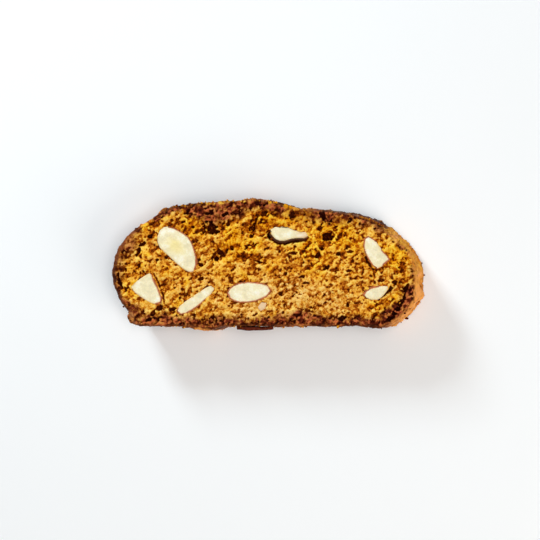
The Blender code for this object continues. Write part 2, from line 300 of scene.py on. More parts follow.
# Dents in the wall, or swellings where the depth is below 0: x, y, z, reach and depth
DENTS = (
    (54.6, -6.5, 1.0, 3.4, 2.2),
    (53.4, -6.5, 6.0, 3.4, 1.4),
    (53.6, -16.2, 2.5, 5.6, 2.2),
    (55.2, -12.2, 2.0, 3.0, -1.0),
    (55.2, -2.6, 3.0, 3.0, -0.4),
    (-43.2, 15.2, 11.0, 5.0, 1.1),
    (-37.2, 18.6, 12.0, 2.6, -0.9),
    (2.2, 22.2, 12.0, 2.2, -0.5),
    (5.0, 21.2, 12.8, 3.0, 3.0),
    (5.0, 21.6, 8.6, 3.0, 1.8),
    (5.0, 21.8, 4.6, 3.0, 1.8),
    (5.0, 22.2, 1.0, 3.4, 2.6),
    (-48.8, -18.6, 12.8, 2.8, -1.0),
    (-51.2, -14.2, 12.6, 3.2, 1.5),
    (-54.0, -8.6, 12.5, 1.2, 0.6),
    (54.6, 1.0, 5.0, 2.0, 0.4),
    (2.0, 22.0, 11.0, 1.6, 0.7),
    (-20.0, -22.6, 6.0, 1.6, 0.6),
    (20.0, 20.0, 7.0, 2.2, 0.6),
    (-30.0, 22.0, 5.0, 2.0, 0.5),
)

# Crumbs with a place of their own: x, y, z, radius and how golden
STUCK_CRUMBS = (
    (35.7, 17.0, 13.2, 0.6, 0.62),
    (-37.8, -22.2, 0.8, 0.5, 0.5),
    (-35.0, -22.7, 0.6, 0.35, 0.55),
    (-42.0, -21.8, 0.7, 0.4, 0.3),
    (12.4, 12.8, 13.6, 0.6, 0.8),
    (-20.0, 22.4, 13.3, 0.45, 0.5),
    (-15.0, 22.9, 13.2, 0.4, 0.6),
    (-12.6, 23.0, 13.4, 0.35, 0.55),
    (-8.0, 23.1, 13.2, 0.3, 0.5),
    (2.4, 22.0, 13.4, 0.45, 0.6),
    (5.4, 21.0, 13.4, 0.8, 0.55),
    (7.2, 20.4, 13.2, 0.7, 0.5),
    (-29.6, 20.6, 13.2, 0.4, 0.5),
    (-24.0, 21.9, 13.4, 0.4, 0.55),
)

# The stretch of the upper rim with a fringe of fine crumbs: lowest x, y and z, and highest x
FRINGE_LOW = (-41.0, 14.0, 12.4)
FRINGE_HIGH = 3.0

# Loose flakes of crust: start and end, lowest and highest point, thickness, bend outwards and how golden
FLAKES = (
    ((-11.6, -22.65), (1.2, -22.65), 8.6, 12.8, 1.1, 0.4, 0.22),
    ((40.0, 13.9), (31.4, 17.3), 10.0, 13.8, 0.7, 0.3, 0.34),
    ((-36.6, 18.9), (-41.0, 16.5), 10.0, 13.6, 0.6, 0.2, 0.26),
)

# Holes in the lower cut face, given like those of the upper one, with painted shade inside them too
LOWER_HOLES = (
    (-30.0, 8.0, 2.2, 1.2, 20.0, 2.2),
    (-12.0, -3.0, 1.5, 1.0, 60.0, 1.8),
    (-2.0, 11.0, 2.0, 1.0, 30.0, 2.0),
    (33.0, 4.0, 1.4, 1.1, 0.0, 1.6),
    (44.0, -8.0, 1.8, 1.0, 70.0, 2.0),
    (-40.0, -10.0, 1.6, 1.1, 15.0, 1.8),
    (24.0, 12.0, 1.8, 0.9, 10.0, 1.8),
    (-22.0, -15.0, 1.5, 0.8, 30.0, 1.6),
)

# Where each almond piece wears its skin: from and to in degrees round its middle, the width that
# shows on the cut face, and how far it stands off the flesh
SKINS = (
    ("almond_large", -62.0, 118.0, 0.26, 0.12),
    ("almond_middle", -180.0, 180.0, 0.4, 0.14),
    ("almond_wedge", -84.0, 96.0, 0.45, 0.16),
    ("almond_sliver", -160.0, 22.0, 0.38, 0.14),
    ("almond_upper", -75.0, 62.0, 0.36, 0.14),
    ("almond_upper", 105.0, 262.0, 0.3, 0.14),
    ("almond_lower", 60.0, 200.0, 0.28, 0.12),
    ("almond_crown", 172.0, 352.0, 0.12, 0.26),
    ("almond_crown", 60.0, 168.0, 0.16, 0.08),
)

# How far the skins end above the lower cut face
SKIN_FOOT = 0.05

# The pale heart of the whole kernel: x, y, half length, half width and turn in degrees
HEART = (-33.1, 6.5, 4.0, 2.7, -40.0)

# The flat layout of the dough's faces, in millimetres
LAYOUT = 135.0
LAYOUT_GAP = 1.0
UNDER_ROW = 48.5
WALL_ROW = 97.5
WALL_ROOM = 17.0
RING_STEP = 4.0  # degrees from one measured place round the wall to the next
POCKET_COLUMN = 113.0
POCKET_ROOM = (5.2, 47.0)

# The stage, in metres
FLOOR_REACH = 2.0
CAMERA_PLACE = (0.0, -0.0018, 0.6)
SENSOR_WIDTH = 36.0

# The whole numbers that stir the noise
AXIS_FACTORS = (73856093, 19349663, 83492791)
SEED_FACTOR = 6542989
STIR = 1103515245
LAST_STIR = 48271
ADDED = 12345
KEPT_BITS = 0x7FFFFFFF
GIVEN_BITS = 0xFFFFFF


# Noise and grids. The last whole number given to a noise is its seed, and a look that follows a relief
# shares that relief's seed.


def scrambled(cells, seed):
    """A repeatable number from 0 to 1 for each whole-numbered place."""
    mixed = np.full(cells.shape[:-1], seed * SEED_FACTOR + ADDED, np.int64)
    for axis in range(cells.shape[-1]):
        mixed = (mixed ^ (cells[..., axis] * AXIS_FACTORS[axis])) & KEPT_BITS
        mixed = (mixed * STIR + ADDED) & KEPT_BITS
        mixed ^= mixed >> 15
    mixed = (mixed * LAST_STIR) & KEPT_BITS
    mixed ^= mixed >> 13
    return (mixed & GIVEN_BITS) / float(GIVEN_BITS)


def soft_noise(places, grain, seed):
    """Smooth noise from -1 to 1 with lumps about one grain across."""
    spots = np.asarray(places) / grain
    low = np.floor(spots).astype(np.int64)
    share = spots - low
    share = share * share * (3.0 - 2.0 * share)
    total = np.zeros(spots.shape[:-1])
    for corner in itertools.product((0, 1), repeat=spots.shape[-1]):
        weight = np.ones(total.shape)
        for axis, side in enumerate(corner):
            weight = weight * (share[..., axis] if side else 1.0 - share[..., axis])
        total += weight * scrambled(low + np.array(corner), seed)
    return total * 2.0 - 1.0


def rough_noise(places, grain, seed, octaves=3):
    """Layers of soft noise, each half as large and half as strong as the one before."""
    total = 0.0
    for level in range(octaves):
        total = total + soft_noise(places, grain / 2**level, seed + 31 * level) / 2**level
    return total / 1.6


def cell_noise(places, grain, seed):
    """Distances in grains to the nearest and second nearest of points scattered one to a cell."""
    spots = np.asarray(places) / grain
    low = np.floor(spots).astype(np.int64)
    first = np.full(spots.shape[:-1], 9.0)
    second = first.copy()
    for step in itertools.product((-1, 0, 1), repeat=spots.shape[-1]):
        cell = low + np.array(step)
        away = np.zeros(first.shape)
        for axis in range(spots.shape[-1]):
            point = cell[..., axis] + scrambled(cell, seed + 101 * axis)
            away += (spots[..., axis] - point) ** 2
        away = np.sqrt(away)
        second = np.minimum(second, np.maximum(first, away))
        first = np.minimum(first, away)
    return first, second


def eased(value, low, high):
    """0 below low, 1 above high and a smooth rise between them."""
    share = np.clip((value - low) / (high - low), 0.0, 1.0)
    return share * share * (3.0 - 2.0 * share)


def blurred(field, reach):
    """The field averaged over about the reach, by running sums along each axis, twice."""
    half = max(1, round(reach / GRID_STEP / 2))
    for _ in range(2):
        for axis in (0, 1):
            edge = [(0, 0), (0, 0)]
            edge[axis] = (half + 1, half)
            sums = np.cumsum(np.pad(field, edge, mode="edge"), axis=axis)
            ahead = np.take(sums, range(2 * half + 1, sums.shape[axis]), axis=axis)
            behind = np.take(sums, range(0, sums.shape[axis] - 2 * half - 1), axis=axis)
            field = (ahead - behind) / (2 * half + 1)
    return field


def sampled(field, x, y):
    """The field's value at each place, blended from the four grid points round it."""
    across = np.clip((x - GRID_LOW[0]) / GRID_STEP, 0, GRID_COUNT[0] - 1.001)
    along = np.clip((y - GRID_LOW[1]) / GRID_STEP, 0, GRID_COUNT[1] - 1.001)
    i, j = across.astype(int), along.astype(int)
    a, b = across - i, along - j
    lower = field[i, j] * (1 - a) + field[i + 1, j] * a
    upper = field[i, j + 1] * (1 - a) + field[i + 1, j + 1] * a
    return lower * (1 - b) + upper * b


def window(x, y, reach):
    """The part of the grid round a place, and its points' distances from it along X and Y."""
    parts = []
    for centre, low, count in zip((x, y), GRID_LOW, GRID_COUNT):
        first = int(np.clip((centre - reach - low) / GRID_STEP, 0, count - 1))
        last = int(np.clip((centre + reach - low) / GRID_STEP + 2, 1, count))
        parts.append(slice(first, last))
    return tuple(parts), GRID_X[parts[0]][:, None] - x, GRID_Y[parts[1]][None, :] - y


def oval(dx, dy, length, width, turn):
    """Square of the distance from an oval's middle, where its rim is 1."""
    cos, sin = math.cos(turn), math.sin(turn)
    return ((dx * cos + dy * sin) / length) ** 2 + ((dy * cos - dx * sin) / width) ** 2


def line_distance(places, points):
    """Distance of each place from a line through the points."""
    best = np.full(places.shape[:-1], 1e9)
    for start, end in zip(points[:-1], points[1:]):
        start, along = np.array(start), np.array(end) - np.array(start)
        share = np.clip(((places - start) @ along) / (along @ along), 0.0, 1.0)
        away = places - start - share[..., None] * along
        best = np.minimum(best, np.hypot(away[..., 0], away[..., 1]))
    return best


def spread(table, places, power=3.0):
    """Blends the last columns of a table of x, y, values to every place, the nearest rows counting most."""
    total = 0.0
    weights = 0.0
    for x, y, *values in table:
        away = (places[..., 0] - x) ** 2 + (places[..., 1] - y) ** 2 + 1.0
        weight = away**-power
        weights = weights + weight
        total = total + weight[..., None] * np.array(values)
    return total / weights[..., None]


# The cut faces


def rim_distance(outline):
    """Grid of the distance from the outline's points, worked out on a coarser grid and blended."""
    tree = kdtree.KDTree(len(outline))
    for index, (x, y) in enumerate(outline):
        tree.insert((x, y, 0.0), index)
    tree.balance()
    skip = 5
    coarse = np.array([[tree.find((x, y, 0.0))[2] for y in GRID_Y[::skip]] for x in GRID_X[::skip]])
    across = np.arange(GRID_COUNT[0]) / skip
    along = np.arange(GRID_COUNT[1]) / skip
    rows = np.array([np.interp(along, np.arange(coarse.shape[1]), row) for row in coarse])
    return np.array([np.interp(across, np.arange(coarse.shape[0]), line) for line in rows.T]).T


def along_streaks(places, stretch, turn):
    """The places turned so that their first axis runs along the streaks, and squeezed along it."""
    along, across = math.cos(turn), math.sin(turn)
    turned = places.copy()
    turned[..., 0] = (places[..., 0] * along + places[..., 1] * across) / stretch
    turned[..., 1] = places[..., 1] * along - places[..., 0] * across
    return turned


def finer(field):
    """A field of every second grid point, blended to every grid point."""
    for count in GRID_COUNT:
        spots = np.arange(count) / 2
        low = np.minimum(spots.astype(int), len(field) - 2)
        share = (spots - low)[:, None]
        field = (field[low] * (1.0 - share) + field[low + 1] * share).T
    return field


def first_crumb(coarse, toast, seed):
    """How deep under the knife's plane the crumb starts at each grid point, and how solid it is there."""
    places = GRID_PLACES[::2, ::2]
    loose = np.maximum(0.0, coarse[::2, ::2])
    dense = np.maximum(0.0, -coarse[::2, ::2])
    baked = toast[::2, ::2]
    steep = eased(np.abs(places[..., 0] - 4.0), 5.0, 16.0)

    # Down from the knife's plane layer by layer, until crumb is met
    depth = np.full(places.shape[:2], PORE_LAYERS * PORE_STEP)
    open_yet = np.ones(places.shape[:2], bool)
    above = solid = None
    for layer in range(PORE_LAYERS + 1):
        down = np.full(places.shape[:2] + (1,), 1.3 * PORE_STEP * layer)
        spots = np.concatenate((places, down), axis=-1)
        sway = 0.55 * np.stack([soft_noise(spots, 1.9, seed + axis) for axis in range(3)], axis=-1)
        flat, rising = (along_streaks(spots + sway, 1.6, turn) for turn in STREAKS)
        large = soft_noise(rising, 3.0, seed + 3)
        middle = soft_noise(flat, 1.5, seed + 4) * (1.0 - steep) + soft_noise(rising, 1.5, seed + 5) * steep
        small = soft_noise(along_streaks(spots + 0.5 * sway, 1.3, STREAKS[1]), 0.8, seed + 6)
        tiny = soft_noise(spots, 0.45, seed + 7)
        crumb = (0.12 + 0.34 * loose) * large + (0.45 + 0.5 * loose - 0.2 * dense) * middle
        crumb += (0.55 - 0.1 * loose + 0.1 * dense) * small + (0.36 - 0.1 * loose + 0.12 * dense) * tiny
        crumb += 0.08 * dense - 0.06 * loose - 0.22 + 0.05 * baked
        crumb += (0.72 - 0.34 * loose) * PORE_STEP * layer
        if layer == 0:
            solid = np.clip(crumb, 0.0, 1.2)
            depth[crumb > 0.0] = 0.0
        else:
            reached = open_yet & (crumb > 0.0)
            share = above[reached] / (above[reached] - crumb[reached] - 1e-9)
            depth[reached] = PORE_STEP * (layer - 1.0 + share)
        open_yet &= crumb <= 0.0
        above = crumb
    return finer(depth), finer(solid)


def dig_hole(height, shadow, warp, x, y, length, width, turn, depth):
    """A hole with a torn rim and steep sides, and painted shade inside it that is darker the deeper the hole
    is.
    """
    place, dx, dy = window(x, y, length * 1.6)
    away = np.sqrt(oval(dx, dy, length, width, turn)) + 0.55 * warp[place]
    inside = 1.0 - eased(away, 0.6, 1.15)
    height[place] -= depth * inside
    shadow[place] = np.maximum(shadow[place], inside * min(1.6, depth / 1.6))


def cut_face(outline, seed, holes, crevices, clumps, regions, coarse_shift):
    """Grids of a torn cut face: its height against the knife's plane, and its tone with painted light and
    shade, browning and warmth.
    """
    edge = rim_distance(outline)

    # How coarse, how golden and how light the crumb is from place to place
    coarse = coarse_shift + 0.25 * rough_noise(GRID_PLACES, 9.0, seed + 5)
    warmth = 0.56 + 0.3 * rough_noise(GRID_PLACES, 4.5, seed + 10)
    warmth += 0.35 * rough_noise(GRID_PLACES, 1.7, seed + 17)
    light = np.zeros(GRID_COUNT)
    for x, y, reach, amount, warm, pale in regions:
        place, dx, dy = window(x, y, reach * 1.8)
        near = np.exp(-2.0 * oval(dx, dy, reach, reach * 0.7, 0.3))
        coarse[place] += amount * near
        warmth[place] += warm * near
        light[place] += pale * near
    coarse = np.clip(coarse, -1.0, 0.65)
    warp = rough_noise(GRID_PLACES, 0.9, seed + 6, 2)
    fine = rough_noise(GRID_PLACES, 0.5, seed + 9, 2)

    # The browned band along the rim, with a ragged inner side
    width, strength = np.moveaxis(spread(RIM_BROWNING, GRID_PLACES), -1, 0)
    ragged = rough_noise(GRID_PLACES, 3.4, seed + 8) * 1.5 + 0.8 * warp
    toast = 1.35 * strength * (1.0 - eased(edge + ragged, width * 0.45, width * 1.3 + 0.4))

    # Pores, torn streaks and a rim that has crumbled away
    depth, solid = first_crumb(coarse, toast, seed + 20)
    torn = rough_noise(along_streaks(GRID_PLACES, 1.5, STREAKS[1]), 3.6, seed + 7)
    height = 0.34 * np.sqrt(solid) - 1.25 * depth - 0.15 + (0.24 + 0.45 * np.maximum(0.0, coarse)) * torn
    broken = soft_noise(GRID_PLACES, 1.6, seed + 16) + 0.5 * warp
    height -= (1.0 - eased(edge, 0.0, 1.4)) * np.maximum(0.0, 0.45 + 0.6 * broken)
    height += 0.12 * warp + 0.08 * fine

    # Raised clumps, then holes and crevices, which are filled with painted shade
    shadow = np.zeros(GRID_COUNT)
    for x, y, length, breadth, turn, rise in clumps:
        place, dx, dy = window(x, y, length * 1.6)
        away = np.sqrt(oval(dx, dy, length, breadth, math.radians(turn))) + 0.3 * warp[place]
        inside = 1.0 - eased(away, 0.25, 1.05)
        height[place] += (rise + 0.7 * depth[place]) * inside
        depth[place] *= 1.0 - 0.7 * inside
        warmth[place] += 0.3 * inside
    for x, y, length, breadth, turn, deep in holes:
        dig_hole(height, shadow, warp, x, y, length, breadth, math.radians(turn), deep)
    for points, half, deep in crevices:
        away = line_distance(GRID_PLACES, points) / half + 0.7 * warp
        inside = 1.0 - eased(away, 0.3, 1.1)
        height -= deep * inside
        shadow = np.maximum(shadow, 0.8 * inside)
    height = np.minimum(height, 0.25)

    # Painted highlight on what stands up, and painted shade down in the pores, where the crumb is also
    # browner, and in the holes and crevices
    near = blurred(height, 0.6)
    wide = blurred(height, 2.2)
    patches = rough_noise(along_streaks(GRID_PLACES, 1.4, STREAKS[1]), 2.6, seed + 12, 3)
    dots = soft_noise(GRID_PLACES, 0.8, seed + 15)
    tone = 0.68 + 0.19 * patches + 0.16 * dots + 0.14 * fine - 0.36 * np.minimum(depth, 1.2) - 0.4 * shadow
    tone += light - 0.03 * toast
    tone += 0.34 * (height - near) + 0.24 * np.clip(height - wide, -1.0, 1.0)
    tone += 0.45 * toast * (tone - 0.6)
    return {
        "edge": edge,
        "height": height,
        "tone": np.clip(tone, 0.0, 1.0),
        "toast": np.clip(toast, 0.0, 1.0),
        "warmth": np.clip(warmth, 0.0, 1.0),
    }


# Meshes


def merged_copy(node):
    """A copy of a solid with its points merged and its faces turned out, open for more work."""
    shape = bmesh.new()
    shape.from_mesh(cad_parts[node].data)
    bmesh.ops.remove_doubles(shape, verts=shape.verts, dist=MERGE)
    bmesh.ops.recalc_face_normals(shape, faces=shape.faces)
    return shape


def closed_up(shape, name):
    """The finished shape as a mesh of that name."""
    mesh = bpy.data.meshes.new(name)
    shape.to_mesh(mesh)
    shape.free()
    return mesh


def add_to(whole, shape):
    """Puts a finished shape into a larger one."""
    mesh = closed_up(shape, "part_of_whole")
    whole.from_mesh(mesh)
    bpy.data.meshes.remove(mesh)


def add_piece(name, mesh, material):
    mesh.name = name
    mesh.materials.clear()
    mesh.materials.append(material)
    mesh.shade_smooth()
    piece = bpy.data.objects.new(name, mesh)
    bpy.context.scene.collection.objects.link(piece)
    return piece


def with_modifier(mesh, kind, **settings):
    """The mesh after one modifier, and the mesh it was made from is removed."""
    holder = bpy.data.objects.new("holder", mesh)
    bpy.context.scene.collection.objects.link(holder)
    modifier = holder.modifiers.new(kind, kind)
    groups = settings.pop("weights", None)
    if groups is not None:
        group = holder.vertex_groups.new(name="weights")
        for level in np.unique(groups):
            chosen = np.nonzero(groups == level)[0].tolist()
            group.add(chosen, float(level), "REPLACE")
        modifier.vertex_group = group.name
    for name, value in settings.items():
        setattr(modifier, name, value)
    graph = bpy.context.evaluated_depsgraph_get()
    made = bpy.data.meshes.new_from_object(holder.evaluated_get(graph))
    bpy.data.objects.remove(holder)
    bpy.data.meshes.remove(mesh)
    return made


def points_of(mesh):
    """The mesh's points in millimetres."""
    flat = np.empty(len(mesh.vertices) * 3, np.float32)
    mesh.vertices.foreach_get("co", flat)
    return flat.reshape(-1, 3).astype(float) / MM


def normals_of(mesh):
    flat = np.empty(len(mesh.vertices) * 3, np.float32)
    mesh.vertex_normals.foreach_get("vector", flat)
    return flat.reshape(-1, 3).astype(float)


def move_points(mesh, points):
    mesh.vertices.foreach_set("co", (points * MM).astype(np.float32).ravel())
    mesh.update()


def store(mesh, name, values):
    attribute = mesh.attributes.get(name) or mesh.attributes.new(name, "FLOAT", "POINT")
    attribute.data.foreach_set("value", np.asarray(values, np.float32))


def triangles_of(mesh):
    mesh.calc_loop_triangles()
    flat = np.empty(len(mesh.loop_triangles) * 3, np.int32)
    mesh.loop_triangles.foreach_get("vertices", flat)
    return flat.reshape(-1, 3)


def almond_distance(points):
    """Distance in millimetres of each point from the nearest almond piece."""
    best = np.full(len(points), 1e9)
    for node in ALMONDS:
        low, high = (np.array(corner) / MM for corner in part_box(node))
        near = np.all((points > low - 1.5) & (points < high + 1.5), axis=1)
        mesh = closed_up(merged_copy(node), "measure")
        tree = BVHTree.FromPolygons([v.co for v in mesh.vertices], [list(p.vertices) for p in mesh.polygons])
        for index in np.nonzero(near)[0]:
            found = tree.find_nearest(Vector(points[index] * MM))
            best[index] = min(best[index], found[3] / MM)
        bpy.data.meshes.remove(mesh)
    return best


# Materials


class Finish:
    """A material's node tree, with short ways to add and join nodes."""

    def __init__(self, name):
        self.material = bpy.data.materials.new(name)
        self.material.use_nodes = True
        self.tree = self.material.node_tree
        self.shader = self.tree.nodes["Principled BSDF"]
        self.place = self.tree.nodes.new("ShaderNodeTexCoord").outputs["Object"]

    def put(self, socket, value):
        if isinstance(value, bpy.types.NodeSocket):
            self.tree.links.new(value, socket)
        else:
            socket.default_value = value

    def math(self, operation, first, second=0.0, clamp=False):
        node = self.tree.nodes.new("ShaderNodeMath")
        node.operation = operation
        node.use_clamp = clamp
        self.put(node.inputs[0], first)
        self.put(node.inputs[1], second)
        return node.outputs[0]

    def attribute(self, name):
        node = self.tree.nodes.new("ShaderNodeAttribute")
        node.attribute_name = name
        return node.outputs["Fac"]

    def noise(self, grain, detail=3.0, roughness=0.5, place=None):
        """Noise with lumps about that many millimetres across."""
        node = self.tree.nodes.new("ShaderNodeTexNoise")
        self.put(node.inputs["Vector"], place or self.place)
        node.inputs["Scale"].default_value = 1.0 / (grain * MM)
        node.inputs["Detail"].default_value = detail
        node.inputs["Roughness"].default_value = roughness
        return node.outputs["Fac"]

    def cells(self, grain):
        node = self.tree.nodes.new("ShaderNodeTexVoronoi")
        self.put(node.inputs["Vector"], self.place)
        node.inputs["Scale"].default_value = 1.0 / (grain * MM)
        return node.outputs["Distance"]

    def spread(self, value, low, high, to_low=0.0, to_high=1.0):
        node = self.tree.nodes.new("ShaderNodeMapRange")
        self.put(node.inputs["Value"], value)
        node.inputs["From Min"].default_value = low
        node.inputs["From Max"].default_value = high
        node.inputs["To Min"].default_value = to_low
        node.inputs["To Max"].default_value = to_high
        return node.outputs["Result"]

    def ramp(self, value, stops):
        node = self.tree.nodes.new("ShaderNodeValToRGB")
        self.put(node.inputs["Fac"], value)
        colours = node.color_ramp.elements
        for _ in stops[2:]:
            colours.new(1.0)
        for element, (where, colour) in zip(colours, stops):
            element.position = where
            element.color = (*colour[:3], 1.0)
        return node.outputs["Color"]

    def mix(self, share, first, second):
        node = self.tree.nodes.new("ShaderNodeMix")
        node.data_type = "RGBA"
        self.put(node.inputs["Factor"], share)
        self.put(node.inputs["A"], first)
        self.put(node.inputs["B"], second)
        return node.outputs["Result"]

    def bump(self, height, distance, strength=1.0, under=None):
        node = self.tree.nodes.new("ShaderNodeBump")
        self.put(node.inputs["Height"], height)
        node.inputs["Distance"].default_value = distance * MM
        node.inputs["Strength"].default_value = strength
        if under is not None:
            self.put(node.inputs["Normal"], under)
        return node.outputs["Normal"]

    def worn(self, colour, roughness, relief, specular):
        """The material, once its colour, roughness, relief and gloss are joined to the shader."""
        for name, value in (
            ("Base Color", colour),
            ("Roughness", roughness),
            ("Normal", relief),
            ("Specular IOR Level", specular),
        ):
            self.put(self.shader.inputs[name], value)
        return self.material


def linear(*srgb):
    """A colour given as it looks, from 0 to 255, as the numbers that materials use."""
    shares = [value / 255.0 for value in srgb]
    return tuple(s / 12.92 if s <= 0.04045 else ((s + 0.055) / 1.055) ** 2.4 for s in shares)


def shaded(colour, factor):
    return tuple(min(1.0, channel * factor) for channel in colour[:3])


def blend(first, second, share):
    return tuple(a * (1.0 - share) + b * share for a, b in zip(first[:3], second[:3]))


def dough_material(look):
    finish = Finish("baked_dough")
    dark, shade, mid, light = look.pit_colour, look.shade_colour, look.crumb_colour, look.peak_colour
    tan, toasted, burnt = look.tan_colour, look.toast_colour, look.burnt_colour
    fine = finish.spread(finish.noise(0.42, 3.0, 0.7), 0.25, 0.75, -0.31, 0.31)
    tone = finish.math("ADD", finish.attribute("tone"), fine, clamp=True)
    # The tone runs from the pit colour, the crumb's brown darkened as painted shade, to the peak and pale
    # colours, lightened as painted highlight on raised grains
    golden = finish.ramp(
        tone,
        (
            (0.0, dark),
            (0.2, blend(dark, shade, 0.38)),
            (0.42, shade),
            (0.64, mid),
            (1.0, light),
        ),
    )
    sandy = finish.ramp(
        tone,
        (
            (0.0, dark),
            (0.2, blend(dark, shade, 0.36)),
            (0.42, blend(shade, tan, 0.12)),
            (0.62, tan),
            (1.0, look.pale_crumb_colour),
        ),
    )
    brown = finish.ramp(
        tone,
        (
            (0.0, burnt),
            (0.2, blend(burnt, toasted, 0.22)),
            (0.42, blend(burnt, toasted, 0.6)),
            (0.62, toasted),
            (0.82, blend(toasted, look.amber_colour, 0.45)),
            (1.0, look.amber_colour),
        ),
    )
    crumb = finish.mix(finish.attribute("warmth"), sandy, golden)
    patchy = finish.spread(finish.noise(1.7, 3.0, 0.6), 0.3, 0.7, -0.36, 0.3)
    toast = finish.math("ADD", finish.attribute("toast"), patchy, clamp=True)
    toast = finish.math("MULTIPLY", toast, finish.spread(finish.attribute("toast"), 0.0, 0.12))
    crumb = finish.mix(toast, crumb, brown)
    mottle = finish.spread(finish.noise(2.2, 5.0, 0.65), 0.25, 0.75, -0.28, 0.28)
    bake = finish.math("ADD", finish.attribute("bake"), mottle, clamp=True)
    crust = finish.ramp(
        bake,
        (
            (0.0, shaded(look.pale_crust_colour, 1.25)),
            (0.18, look.pale_crust_colour),
            (0.36, blend(look.pale_crust_colour, look.crust_colour, 0.5)),
            (0.55, look.crust_colour),
            (0.8, blend(look.crust_colour, burnt, 0.5)),
            (1.0, blend(look.crust_colour, burnt, 0.85)),
        ),
    )
    # Painted sheen: the crust is mixed towards the sheen colour, a painted highlight where its gloss catches
    # the light
    crust = finish.mix(finish.attribute("painted_sheen"), crust, look.painted_sheen_colour)
    colour = finish.mix(finish.attribute("crust"), crumb, crust)
    uneven = finish.spread(finish.noise(1.1, 3.0), 0.3, 0.7, -0.1, 0.1)
    rough = finish.math("ADD", finish.spread(finish.attribute("crust"), 0.0, 1.0, 0.86, 0.6), uneven)
    gloss = finish.spread(finish.attribute("crust"), 0.0, 1.0, 0.04, 0.1)
    grains = finish.bump(finish.noise(0.3, 3.0, 0.65), 0.12, 0.75)
    return finish.worn(colour, rough, finish.bump(finish.cells(0.55), 0.12, 0.5, grains), gloss)


def almond_material(look):
    finish = Finish("almond_flesh")
    cloud = finish.noise(2.6, 3.0, 0.55)
    fine = finish.noise(0.4, 3.0, 0.6)
    flesh = finish.ramp(
        finish.math("ADD", finish.spread(cloud, 0.3, 0.7), finish.spread(fine, 0.3, 0.7, -0.25, 0.25)),
        ((0.0, shaded(look.flesh_colour, 0.86)), (0.5, look.flesh_colour), (1.0, look.pale_colour)),
    )
    flesh = finish.mix(finish.attribute("heart"), flesh, look.heart_colour)
    flesh = finish.mix(finish.attribute("edge"), flesh, look.rim_colour)
    flesh = finish.mix(finish.attribute("blush"), flesh, look.blush_colour)
    skin = finish.ramp(
        finish.noise(0.8, 3.0, 0.6),
        ((0.3, shaded(look.skin_colour, 0.7)), (0.7, shaded(look.skin_colour, 1.5))),
    )
    # The crown's near black skin is partly its own colour and partly painted shade of its crevice
    skin = finish.mix(finish.attribute("dark"), skin, shaded(look.skin_colour, 0.16) + (1.0,))
    flesh = finish.mix(finish.attribute("skin"), flesh, skin)
    finish.shader.inputs["Subsurface Weight"].default_value = 0.15
    finish.shader.inputs["Subsurface Radius"].default_value = (0.0012, 0.0009, 0.0005)
    rough = finish.spread(fine, 0.2, 0.8, 0.42, 0.62)
    return finish.worn(flesh, rough, finish.bump(finish.noise(0.9, 4.0, 0.6), 0.1, 0.4), 0.25)


def skin_material(look):
    finish = Finish("almond_skin")
    veins = finish.noise(0.8, 4.0, 0.65)
    colour = finish.ramp(
        veins,
        (
            (0.25, shaded(look.skin_colour, 0.35)),
            (0.5, look.skin_colour),
            (0.8, shaded(look.skin_colour, 1.9)),
        ),
    )
    # The crown's near black skin is partly its own colour and partly painted shade of its crevice
    colour = finish.mix(finish.attribute("dark"), colour, shaded(look.skin_colour, 0.16) + (1.0,))
    rough = finish.spread(veins, 0.3, 0.7, 0.5, 0.75)
    return finish.worn(colour, rough, finish.bump(finish.noise(0.3, 3.0), 0.06, 0.6), 0.12)


def crumbs_material(look):
    finish = Finish("loose_crumb")
    uneven = finish.spread(finish.noise(0.5, 3.0), 0.2, 0.8, -0.2, 0.2)
    tint = finish.math("ADD", finish.attribute("tint"), uneven)
    colour = finish.ramp(
        tint,
        (
            (0.0, look.burnt_colour),
            (0.3, look.toast_colour),
            (0.6, look.crumb_colour),
            (1.0, look.peak_colour),
        ),
    )
    rough = finish.spread(finish.noise(0.4), 0.3, 0.7, 0.7, 0.9)
    return finish.worn(colour, rough, finish.bump(finish.noise(0.2, 3.0), 0.08, 0.6), 0.1)


def floor_material(stage):
    finish = Finish("pale_paper")
    fibre = finish.noise(0.8, 4.0, 0.7)
    cloud = finish.noise(60.0, 3.0)
    pale = stage.floor_colour
    low = finish.mix(finish.spread(cloud, 0.3, 0.7), shaded(pale, 0.985) + (1.0,), pale[:3] + (1.0,))
    colour = finish.mix(finish.spread(fibre, 0.3, 0.7), low, shaded(pale, 0.99) + (1.0,))
    return finish.worn(colour, finish.spread(fibre, 0.3, 0.7, 0.8, 0.95), finish.bump(fibre, 0.02, 0.2), 0.5)


# Settings


def colour_property(name, description, default):
    return bpy.props.FloatVectorProperty(
        name=name,
        description=description,
        subtype="COLOR",
        size=4,
        min=0.0,
        max=1.0,
        default=(*default, 1.0),
    )


def length_property(name, description, default, low, high):
    """A length, with its default and its limits given in millimetres."""
    return bpy.props.FloatProperty(
        name=name,
        description=description,
        default=default * MM,
        min=low * MM,
        max=high * MM,
        unit="LENGTH",
    )


def count_property(name, description, default, low=0, high=1000):
    return bpy.props.IntProperty(name=name, description=description, default=default, min=low, max=high)


def power_property(name, description, default):
    return bpy.props.FloatProperty(
        name=name, description=description, default=default, min=0.0, unit="POWER"
    )


